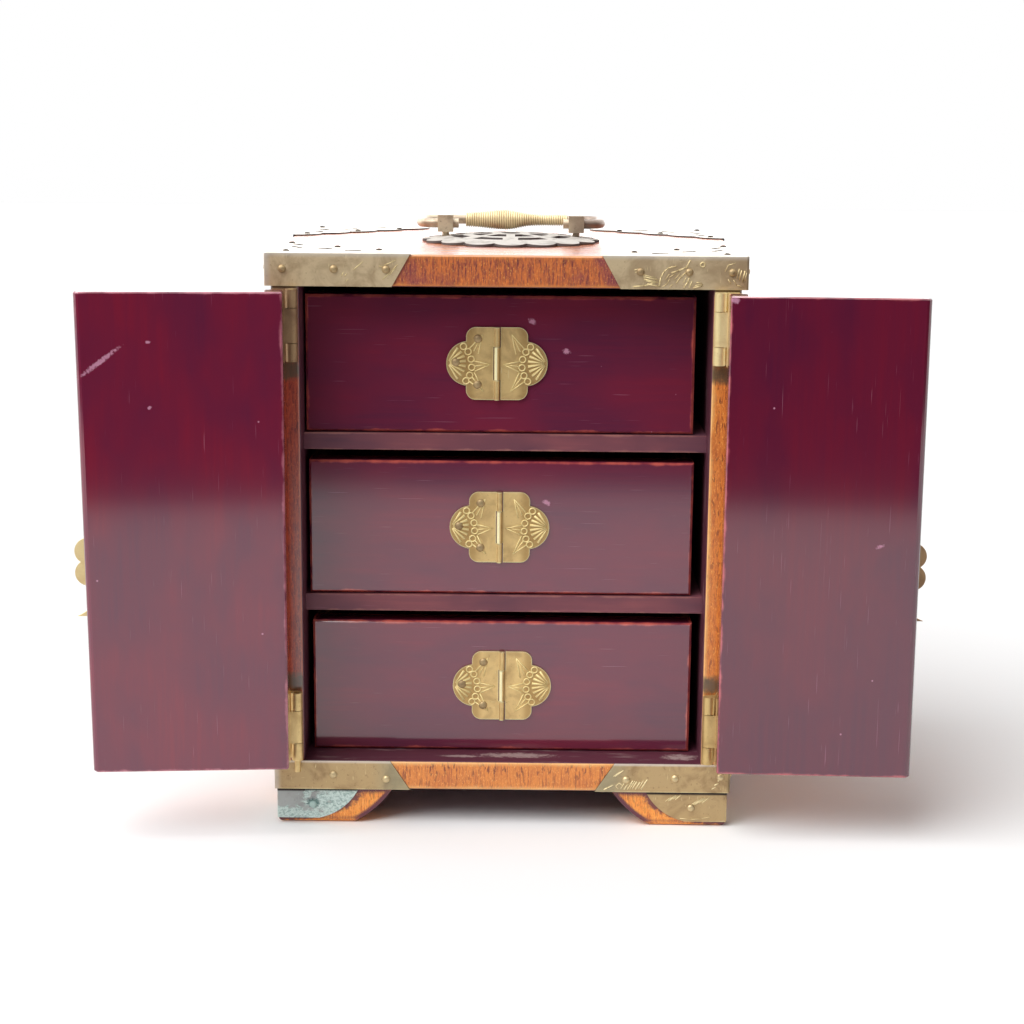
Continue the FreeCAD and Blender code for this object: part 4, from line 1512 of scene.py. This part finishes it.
@dataclass
class DrawerPull:
    """Domed nails and chased palmettes on one drawer's hinged pull."""

    name: str
    seed: float
    sheet: float = 0.8
    nail_places: Path = ((-6.7, 8.7), (-14.4, 0.4), (-6.8, -7.4))
    leaves: tuple[Path, ...] = (
        ((5.1, 10.3), (6.6, 3.4), (9.7, 5.2)),
        ((2.3, -0.3), (7.9, 0.9), (7.8, -2.7)),
        ((4.8, -9.7), (7.9, -3.0), (9.6, -6.3)),
    )
    leaf_taper: float = 0.6
    vein_gap: float = 0.3
    vein_taper: float = 0.3
    beads: Path = ((11.7, 6.0), (10.1, 4.2), (9.0, 1.6), (8.8, -1.3), (9.5, -4.1), (10.8, -6.1))
    bead_radius: float = 1.1
    fan_tip: Place = (17.4, 0.2)
    fan_reach: float = 6.6
    fan_spread: float = 112.0
    fan_ribs: int = 8
    rib_length: float = 0.86
    rib_taper: float = 0.3
    nail: Nail = Nail(radius=1.55)
    line: Relief = Relief(width=0.5, height=0.4)
    rib: Relief = Relief(width=0.95, height=0.42)

    def centre(self) -> Vector:
        """The pull's middle on its hinge line, at the plates' faces.

        Returns:
            The place in millimetres.
        """
        plate_low, plate_high = box_mm(self.name + "_pull_plate")
        across = (plate_low.x + box_mm(self.name + "_pull_tab")[1].x) / 2
        face = box_mm(self.name + "_drawer_front")[0].y - self.sheet
        return Vector((across, face, (plate_low.z + plate_high.z) / 2))

    def palmette(self, middle: Vector, side: int) -> Mesh:
        """Three pointed leaves, a row of beads and a fan of ribs on one half.

        Args:
            middle: the pull's middle on the plates' faces.
            side: 1 for the right half, -1 for the left.

        Returns:
            The raised lines.
        """
        mesh = bmesh.new()

        def spot(across: float, up: float) -> Vector:
            """A place on this half."""
            return middle + Vector((side * across, 0, up))

        for bead in self.beads:
            self.line.ring(mesh, spot(*bead), self.bead_radius, FORWARD)
        for leaf in self.leaves:
            point, low, high = (spot(*place) for place in leaf)
            root = (low + high) / 2
            self.line.stroke(mesh, low, point, FORWARD, self.leaf_taper)
            self.line.stroke(mesh, high, point, FORWARD, self.leaf_taper)
            tip = point + (root - point) * self.vein_gap
            self.line.stroke(mesh, root, tip, FORWARD, self.vein_taper)
        end = spot(*self.fan_tip)
        for index in range(self.fan_ribs):
            turn = math.radians(self.fan_spread * (index / (self.fan_ribs - 1) - 0.5))
            away, up = self.fan_reach * math.cos(turn), self.fan_reach * math.sin(turn)
            start = spot(self.fan_tip[0] - away, up)
            self.rib.stroke(mesh, start, start + (end - start) * self.rib_length, FORWARD, self.rib_taper)
        return mesh

    def build(self) -> None:
        """The pull's nails and chasing, on the drawer and on the tab."""
        middle = self.centre()
        board = Board.of(self.name + "_pull_plate")
        nails = bmesh.new()
        for across, up in self.nail_places:
            self.nail.add(nails, middle + Vector((across, 0, up)), FORWARD)
        finish = NAIL_BRASS.material(Surface(self.name + "_pull_nail_brass", board, self.seed))
        new_piece(self.name + "_pull_nails", nails, self.name + "_drawer", finish)
        for half, body, side in (("plate", "drawer", -1), ("tab", "tab", 1)):
            name = f"{self.name}_{half}_chasing"
            finish = CHASED_HIGHLIGHT_BRASS.material(Surface(name + "_brass", board, self.seed + 3))
            new_piece(name, self.palmette(middle, side), f"{self.name}_{body}", finish)

    def dress(self) -> None:
        """Give the pull warm brass."""
        for half, finish in (("plate", PLATE_BRASS), ("tab", TAB_BRASS), ("pin", BRIGHT_BRASS)):
            node = f"{self.name}_pull_{half}"
            paint(node, finish.material(Surface.of(node, "brass", self.seed)))


@dataclass
class CarryingHandle:
    """Ribbed grip on the bail, with the bail, posts and openwork plate dressed."""

    rib_pitch: float = 0.86
    rib_height: float = 0.42
    rib_profile: Path = ((0.1, 0.0), (0.3, 0.8), (0.5, 1.0), (0.7, 0.8), (0.9, 0.0))
    bore_gap: float = 0.05
    bulge_reaches: Place = (9.5, 6.5)
    end_radii: Place = (2.7, 2.2)
    crown_depth: float = 0.01
    steps: int = 32
    dome_rise: float = 2.3
    dome_cut: float = 3.0
    flat_angle: float = 0.01

    def swell_at(self) -> float:
        """Where along the bail the sleeve is thickest.

        Returns:
            The place across the box, in millimetres.
        """
        verts = frame["nodes"]["handle_grip"].data.vertices
        top = max(vert.co.z for vert in verts)
        crown = [vert.co.x * PER_METRE for vert in verts if vert.co.z > top - self.crown_depth * MM]
        return sum(crown) / len(crown)

    def radius(self, along: float, full: float) -> float:
        """The sleeve's radius between its ribs.

        Args:
            along: distance from the thickest place, in millimetres.
            full: radius there.

        Returns:
            The radius.
        """
        side = 0 if along < 0 else 1
        swell = math.exp(-((along / self.bulge_reaches[side]) ** 2))
        end = self.end_radii[side]
        return end - self.rib_height + (full - end) * swell

    def build_grip(self) -> None:
        """The wound grip, in the sleeve's place."""
        low, high = box_mm("handle_grip")
        bail_low, bail_high = box_mm("handle_bail")
        middle = (low + high) / 2
        half = (high.x - low.x) / 2
        full = (high.z - low.z) / 2
        bore = (bail_high.z - bail_low.z) / 2 + self.bore_gap
        swell = self.swell_at() - middle.x
        ribs = round(2 * half / self.rib_pitch)
        pitch = 2 * half / ribs
        points = [(bore, -half)]
        for index in range(ribs):
            for share, lift in self.rib_profile:
                along = -half + (index + share) * pitch
                points.append((self.radius(along - swell, full) + self.rib_height * lift, along))
        points += [(bore, half), (bore, -half)]
        mesh = bmesh.new()
        turn = Matrix.Rotation(math.pi / 2, 4, "Y")
        add_turned(mesh, points, self.steps, Matrix.Translation(middle * MM) @ turn)
        finish = replace(GRIP_BRASS, pitch=pitch)
        wound = finish.material(Surface("grip_brass", Board.of("handle_grip"), 3.0))
        piece = new_piece("ribbed_grip", mesh, "handle", wound)
        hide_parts("handle_grip")

    def build_plate(self, openwork: Material) -> None:
        """The openwork plate, dished up a little towards its middle.

        Args:
            openwork: its finish.
        """
        low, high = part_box("top_medallion")
        middle = (low + high) / 2
        reach = (high.x - low.x) / 2
        mesh = copy_of("top_medallion")
        bmesh.ops.dissolve_limit(mesh, angle_limit=self.flat_angle, verts=mesh.verts[:], edges=mesh.edges[:])
        cuts = round(2 * reach * PER_METRE / self.dome_cut)
        for axis in (Vector((1, 0, 0)), Vector((0, 1, 0))):
            for index in range(1, cuts):
                spot = middle + axis * (reach * (2 * index / cuts - 1))
                geometry = mesh.verts[:] + mesh.edges[:] + mesh.faces[:]
                bmesh.ops.bisect_plane(mesh, geom=geometry, plane_co=spot, plane_no=axis, dist=TINY)
        for vert in mesh.verts:
            away = (vert.co - middle).xy.length / reach
            vert.co.z += self.dome_rise * MM * max(0.0, 1 - away * away)
        bmesh.ops.triangulate(mesh, faces=mesh.faces[:])
        piece = new_piece("dished_medallion", mesh, "case", openwork, False)
        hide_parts("top_medallion")

    def dress(self) -> None:
        """Build the grip and the plate, and give the handle its metals."""
        self.build_grip()
        paint("handle_bail", HANDLE_BRASS.material(Surface("bail_brass", Board.of("handle_bail"), 7.0)))
        paint("handle_posts", POST_BRASS.material(Surface("post_brass", Board.of("handle_posts"), 11.0)))
        openwork = Openwork().material(Surface("medallion_plate", Board.of("top_medallion"), 5.0))
        paint("top_medallion", openwork)
        self.build_plate(openwork)


@dataclass
class Carcase:
    """The case's boards, shelves and feet."""

    ledge_smears: tuple[Scuff, ...] = (
        Scuff(5.0, -60.5, 15.0, 3.4), Scuff(-14.0, -62.0, 9.0, 1.6), Scuff(64.0, -61.0, 7.0, 4.2),
    )
    dusty: Lacquer = Lacquer(
        tone(118, 70, 80), tone(140, 80, 86), tone(98, 62, 76), tone(168, 112, 104),
        coat_rough=0.3, coat_bend=1.5, gloss=0.5,
    )
    hinge_gap: float = 3.2
    hinge_stain: Place = (12.0, 4.4)
    head_stain: Place = (12.0, 3.4)
    foot_band: Place = (2.2, 2.0)

    def stains(self, node: str, board: Board) -> list[Scuff]:
        """Dark patches by the hinges and at the head of a side panel, and round the mount on a foot.

        Args:
            node: the board's name.
            board: its box.

        Returns:
            The patches.
        """
        side = node.split("_")[0]
        if node.endswith("_side_panel"):
            upper = box_mm(f"{side}_upper_hinge_door_leaf")[0].z - self.hinge_gap
            lower = box_mm(f"{side}_lower_hinge_door_leaf")[1].z + self.hinge_gap
            heights = (upper - board.centre.z, lower - board.centre.z)
            marks = [Scuff(0.0, height, *self.hinge_stain, ragged=1.2) for height in heights]
            return marks + [Scuff(0.0, board.half.z, *self.head_stain, ragged=0.6)]
        if node.endswith("_front_foot"):
            way = 1 if side == Side.RIGHT else -1
            low, high = box_mm(node + "_mount")
            wide, tall = (high - low).x + self.foot_band[0], (high - low).z + self.foot_band[1]
            return [Scuff(way * board.half.x, board.half.z, wide, tall, ragged=0.5, soft=0.16)]
        return []

    def dress(self) -> None:
        """Finish every board of the case."""
        plans = {
            "top_board": (SLAB_WOOD, Grain.ACROSS, Face.UNDER),
            "bottom_board": (BASE_WOOD, Grain.ACROSS, Face.UPPER, Face.UNDER),
            "left_side_panel": (LEFT_WOOD, Grain.UPRIGHT, Face.RIGHT),
            "right_side_panel": (BASE_WOOD, Grain.UPRIGHT, Face.LEFT),
            "back_panel": (BACK_WOOD, Grain.UPRIGHT, Face.FRONT),
        }
        for index, (node, (wood, grain, *faces)) in enumerate(plans.items()):
            surface = Surface.of(node, "wood", 23.0 * index)
            smears = self.ledge_smears if node == "bottom_board" else ()
            paint(node, wood.material(surface, grain, self.stains(node, surface.board), faces, smears))
        for index, corner in enumerate(Corner):
            node = corner + "_foot"
            surface = Surface.of(node, "wood", 31.0 + 9 * index)
            paint(node, FOOT_WOOD.material(surface, Grain.ACROSS, self.stains(node, surface.board)))
        for index, node in enumerate(("lower_shelf", "upper_shelf")):
            paint(node, self.dusty.material(Surface.of(node, "lacquer", 51.0 + index), Grain.ACROSS))


# Distance from the hinge edge, height above the ground, half length, half width and slant of each mark
DOOR_MARKS: dict[Side, tuple[tuple[float, ...], ...]] = {
    Side.LEFT: (
        (61.0, 168.6, 9.5, 1.0, 37.0),
        (44.7, 175.4, 1.1, 0.6, 0.0),
        (44.7, 153.2, 0.9, 0.6, 20.0),
    ),
    Side.RIGHT: ((53.2, 107.4, 1.6, 0.8, 25.0), (1.4, 190.8, 1.8, 1.3, 0.0)),
}


@dataclass
class Door:
    """One door: lacquered inside, amber outside, with its hinges and drop pull."""

    side: Side
    seed: float
    lacquer: Lacquer
    trim_top: float
    trim_bottom: float
    brasses: dict[str, Brass]
    pull_brass: Brass
    skin: float = 0.8
    edge_band: float = 2.5
    wood: AmberWood = SLAB_WOOD

    def board(self) -> Board:
        """The standing-open panel's box, turned square to the axes.

        Returns:
            The box.
        """
        joint = next(one for one in frame["joints"] if one["name"] == self.side + "_door_hinge")
        lean = math.radians(180.0 + joint["range_deg"][0])
        return Board.of(self.side + "_door_panel", -lean if self.side is Side.LEFT else lean)

    def build_board(self, finish: Material) -> None:
        """The panel with its free edge planed back, a little out of square.

        Args:
            finish: what it wears.
        """
        node = self.side + "_door_panel"
        board = self.board()
        mesh = copy_of(node)
        turned = Matrix.Rotation(board.turn, 4, "Z") @ Matrix.Scale(PER_METRE, 4)
        square = Matrix.Translation(-board.centre) @ turned
        free = -1 if self.side is Side.LEFT else 1
        edge = [vert for vert in mesh.verts if (square @ vert.co).x * free > board.half.x - self.edge_band]
        slope = (self.trim_top - self.trim_bottom) / (2 * board.half.z)
        plane_off = Matrix.Identity(4)
        plane_off[0][2] = -free * slope
        plane_off[0][3] = -free * (self.trim_top + self.trim_bottom) / 2
        bmesh.ops.transform(mesh, matrix=square.inverted() @ plane_off @ square, verts=edge)
        body = self.side + "_door"
        piece = new_piece(self.side + "_door_board", mesh, body, finish, False)
        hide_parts(node)

    def scuffs(self, board: Board) -> list[Scuff]:
        """The door's own marks, measured from its hinge edge and the ground.

        Args:
            board: the panel's box.

        Returns:
            The marks, placed from the panel's middle.
        """
        way = 1 if self.side is Side.LEFT else -1
        return [
            Scuff(way * (board.half.x - inset), height - board.centre.z, long, wide, slant)
            for inset, height, long, wide, slant in DOOR_MARKS[self.side]
        ]

    def panel_material(self) -> Material:
        """Lacquer on the inner face and edges, amber wood on the outer face.

        Returns:
            The material.
        """
        board = self.board()
        surface = Surface(self.side + "_door_panel_finish", board, self.seed)
        inner, marks, brush = self.lacquer.colour(surface, Grain.UPRIGHT, self.scuffs(board))
        surface.seed = self.seed + 4
        outer, pores = self.wood.colour(surface, Grain.UPRIGHT)
        outside = surface.face(Face.BACK, self.skin)
        height = brush + (pores * 2 - brush) * outside
        return self.lacquer.close(surface, surface.layer(inner, (outside, outer)), marks, brush, height)

    def dress(self) -> None:
        """Finish the door and its brass."""
        finish = self.panel_material()
        paint(self.side + "_door_panel", finish)
        self.build_board(finish)
        for place, brass in self.brasses.items():
            for leaf in ("case_leaf", "door_leaf"):
                node = f"{self.side}_{place}_hinge_{leaf}"
                paint(node, brass.material(Surface.of(node, "brass", len(node))))
        for kind in ("pull_staple", "drop_pull"):
            node = f"{self.side}_{kind}"
            paint(node, self.pull_brass.material(Surface.of(node, "brass", len(node) + 7)))


@dataclass
class Drawer:
    """One drawer's boards and pull."""

    name: str
    seed: float
    chips: Path = ()
    chip_size: Place = (1.7, 1.1)
    chip_slant: float = -25.0
    # The drawers' lighter arrises are wider and brighter than the doors', much of it painted sheen.
    lacquer: Lacquer = Lacquer(
        tone(111, 36, 62), tone(124, 36, 60), tone(98, 36, 63), tone(222, 104, 88), rub_reach=0.5,
    )
    wood: PlainWood = PlainWood()

    def dress(self) -> None:
        """Finish the drawer."""
        front = self.name + "_drawer_front"
        surface = Surface.of(front, "lacquer", self.seed)
        middle = surface.board.centre
        scuffs = [
            Scuff(across - middle.x, up - middle.z, *self.chip_size, self.chip_slant)
            for across, up in self.chips
        ]
        paint(front, self.lacquer.material(surface, Grain.ACROSS, scuffs))
        for kind in ("frame", "bottom"):
            node = f"{self.name}_drawer_{kind}"
            paint(node, self.wood.material(Surface.of(node, "wood", self.seed + 2), Grain.DEEP))
        pull = DrawerPull(self.name, self.seed)
        pull.build()
        pull.dress()


# Studio


@dataclass(frozen=True)
class Camera:
    """The photograph's viewpoint; image sizes are of a frame 1024 pixels wide."""

    place: tuple[float, float, float] = (6.195, -737.994, 256.524)
    yaw: float = -0.2961
    pitch: float = 11.7675
    roll: float = 0.508
    focal_pixels: float = 1990.62
    frame_pixels: float = 1024.0
    sensor: float = 36.0
    clip_start: float = 0.01
    clip_end: float = 50.0

    def build(self) -> None:
        """Make the camera and look through it."""
        data = bpy.data.cameras.new("viewpoint")
        data.sensor_width = self.sensor
        data.lens = self.focal_pixels / self.frame_pixels * self.sensor
        data.clip_start = self.clip_start
        data.clip_end = self.clip_end
        camera = linked("viewpoint", data)
        camera.matrix_world = (
            Matrix.Translation(Vector(self.place) * MM)
            @ Matrix.Rotation(-math.radians(self.yaw), 4, "Z")
            @ Matrix.Rotation(math.radians(90.0 - self.pitch), 4, "X")
            @ Matrix.Rotation(math.radians(self.roll), 4, "Z")
        )
        bpy.context.scene.camera = camera


@dataclass(frozen=True)
class Studio:
    """White table and backdrop, one soft key light from the front left, a dim room in front."""

    table_front: float = -0.66
    table_back: float = 4.0
    table_half: float = 3.0
    table_white: float = 0.92
    room_front: float = 0.12
    room_ceiling: float = 0.52
    room_behind: float = 0.62
    horizon_behind: float = 0.12
    room_right: float = 0.4
    mirrored_ceiling: float = 0.85
    mirrored_front: float = 0.02
    mirrored_behind: float = 2.5
    key_strength: float = 3.25
    key_angle: float = 56.0
    key_elevation: float = 51.0
    key_azimuth: float = -56.0

    def build_table(self) -> None:
        """The floor, which keeps the object's shadow."""
        mesh = bmesh.new()
        bmesh.ops.create_grid(mesh, x_segments=1, y_segments=1, size=1.0)
        depth = (self.table_back - self.table_front) / 2
        shift = Matrix.Translation((0, (self.table_back + self.table_front) / 2, 0))
        spread = Matrix.Diagonal((self.table_half, depth, 1, 1))
        bmesh.ops.transform(mesh, matrix=shift @ spread, verts=mesh.verts)
        data = bpy.data.meshes.new("table")
        mesh.to_mesh(data)
        mesh.free()
        table = linked("table", data)
        white = (self.table_white,) * 3
        finish = Surface("table_white").finish(Base_Color=white, Roughness=0.9, Specular_IOR_Level=0.1)
        data.materials.append(finish)

    def build_world(self) -> None:
        """White to the camera; in reflections bright behind the object, with a dim room in front."""
        world = bpy.data.worlds.new("studio")
        bpy.context.scene.world = world
        world.use_nodes = True
        graph = Graph(world.node_tree)
        across, back, up = graph.split(graph.node("ShaderNodeTexCoord", {}, {}, "Generated"))
        behind = (back + up * 0.3).rise(-0.1, 0.35)
        overhead = up.rise(0.1, 0.7)
        room = self.room_front + (self.room_ceiling - self.room_front) * overhead
        backdrop = self.horizon_behind + (self.room_behind - self.horizon_behind) * up.rise(0.02, 0.5)
        room = (room + (backdrop - room) * behind) * (1 - (1 - self.room_right) * across.rise(-0.3, 0.5))
        mirrored = self.mirrored_front + (self.mirrored_ceiling - self.mirrored_front) * overhead
        mirrored = mirrored + (self.mirrored_behind - mirrored) * behind
        seen, glossy, through = (
            graph.node("ShaderNodeLightPath", {}, {}, f"Is {ray} Ray")
            for ray in ("Camera", "Glossy", "Transmission")
        )
        level = room + (mirrored - room) * glossy
        level = level + (1 - level) * seen.most(through)
        shader = graph.node("ShaderNodeBackground", {}, {"Color": (1.0, 1.0, 1.0), "Strength": level})
        graph.node("ShaderNodeOutputWorld", {}, {"Surface": shader})

    def build_key(self) -> None:
        """One broad sun from the front left."""
        data = bpy.data.lights.new("key", "SUN")
        data.energy = self.key_strength
        data.angle = math.radians(self.key_angle)
        rise, side = math.radians(self.key_elevation), math.radians(self.key_azimuth)
        flat = math.cos(rise)
        source = Vector((math.sin(side) * flat, -math.cos(side) * flat, math.sin(rise)))
        linked("key", data).rotation_euler = source.to_track_quat("Z", "Y").to_euler()

    def build(self) -> None:
        """Set up the table, the surroundings and the light."""
        self.build_table()
        self.build_world()
        self.build_key()
        bpy.context.scene.view_settings.view_transform = "Standard"


LEFT_LACQUER = Lacquer(
    tone(111, 29, 57), tone(126, 29, 54), tone(98, 30, 60), tone(212, 126, 142), rub_reach=0.25,
)
# The right door's lacquer is the left door's made darker: painted shade, the light coming from the left.
SHADED_RIGHT_LACQUER = Lacquer(
    tone(98, 23, 50), tone(110, 23, 48), tone(88, 23, 52), tone(200, 98, 104), rub_reach=0.2,
)
LEFT_HINGES = {"upper": DULL_BRASS, "lower": BRIGHT_BRASS}
RIGHT_HINGES = {"upper": PALE_BRASS, "lower": WARM_BRASS}
DRAWER_CHIPS: dict[str, Path] = {
    "lower": (),
    "middle": ((14.9, 115.8),),
    "upper": ((21.2, 169.7), (9.1, 180.2)),
}


def main() -> None:
    """Dress the box and set up the studio."""
    logging.basicConfig(level=logging.INFO, format="%(message)s")
    Carcase().dress()
    CornerMounts().build()
    CarryingHandle().dress()
    paint("hinge_pins", BRIGHT_BRASS.material(Surface("hinge_pin_brass", Board.of("hinge_pins"), 2.0)))
    Door(
        Side.LEFT, seed=61.0, lacquer=LEFT_LACQUER, trim_top=0.2, trim_bottom=1.6,
        brasses=LEFT_HINGES, pull_brass=PALE_BRASS,
    ).dress()
    # Darker brass on the right door's pulls is painted shade.
    Door(
        Side.RIGHT, seed=83.0, lacquer=SHADED_RIGHT_LACQUER, trim_top=2.4, trim_bottom=2.0,
        brasses=RIGHT_HINGES, pull_brass=DULL_BRASS,
    ).dress()
    for index, (name, chips) in enumerate(DRAWER_CHIPS.items()):
        Drawer(name, seed=101.0 + 17 * index, chips=chips).dress()
    Studio().build()
    Camera().build()


if __name__ == "__main__":
    main()
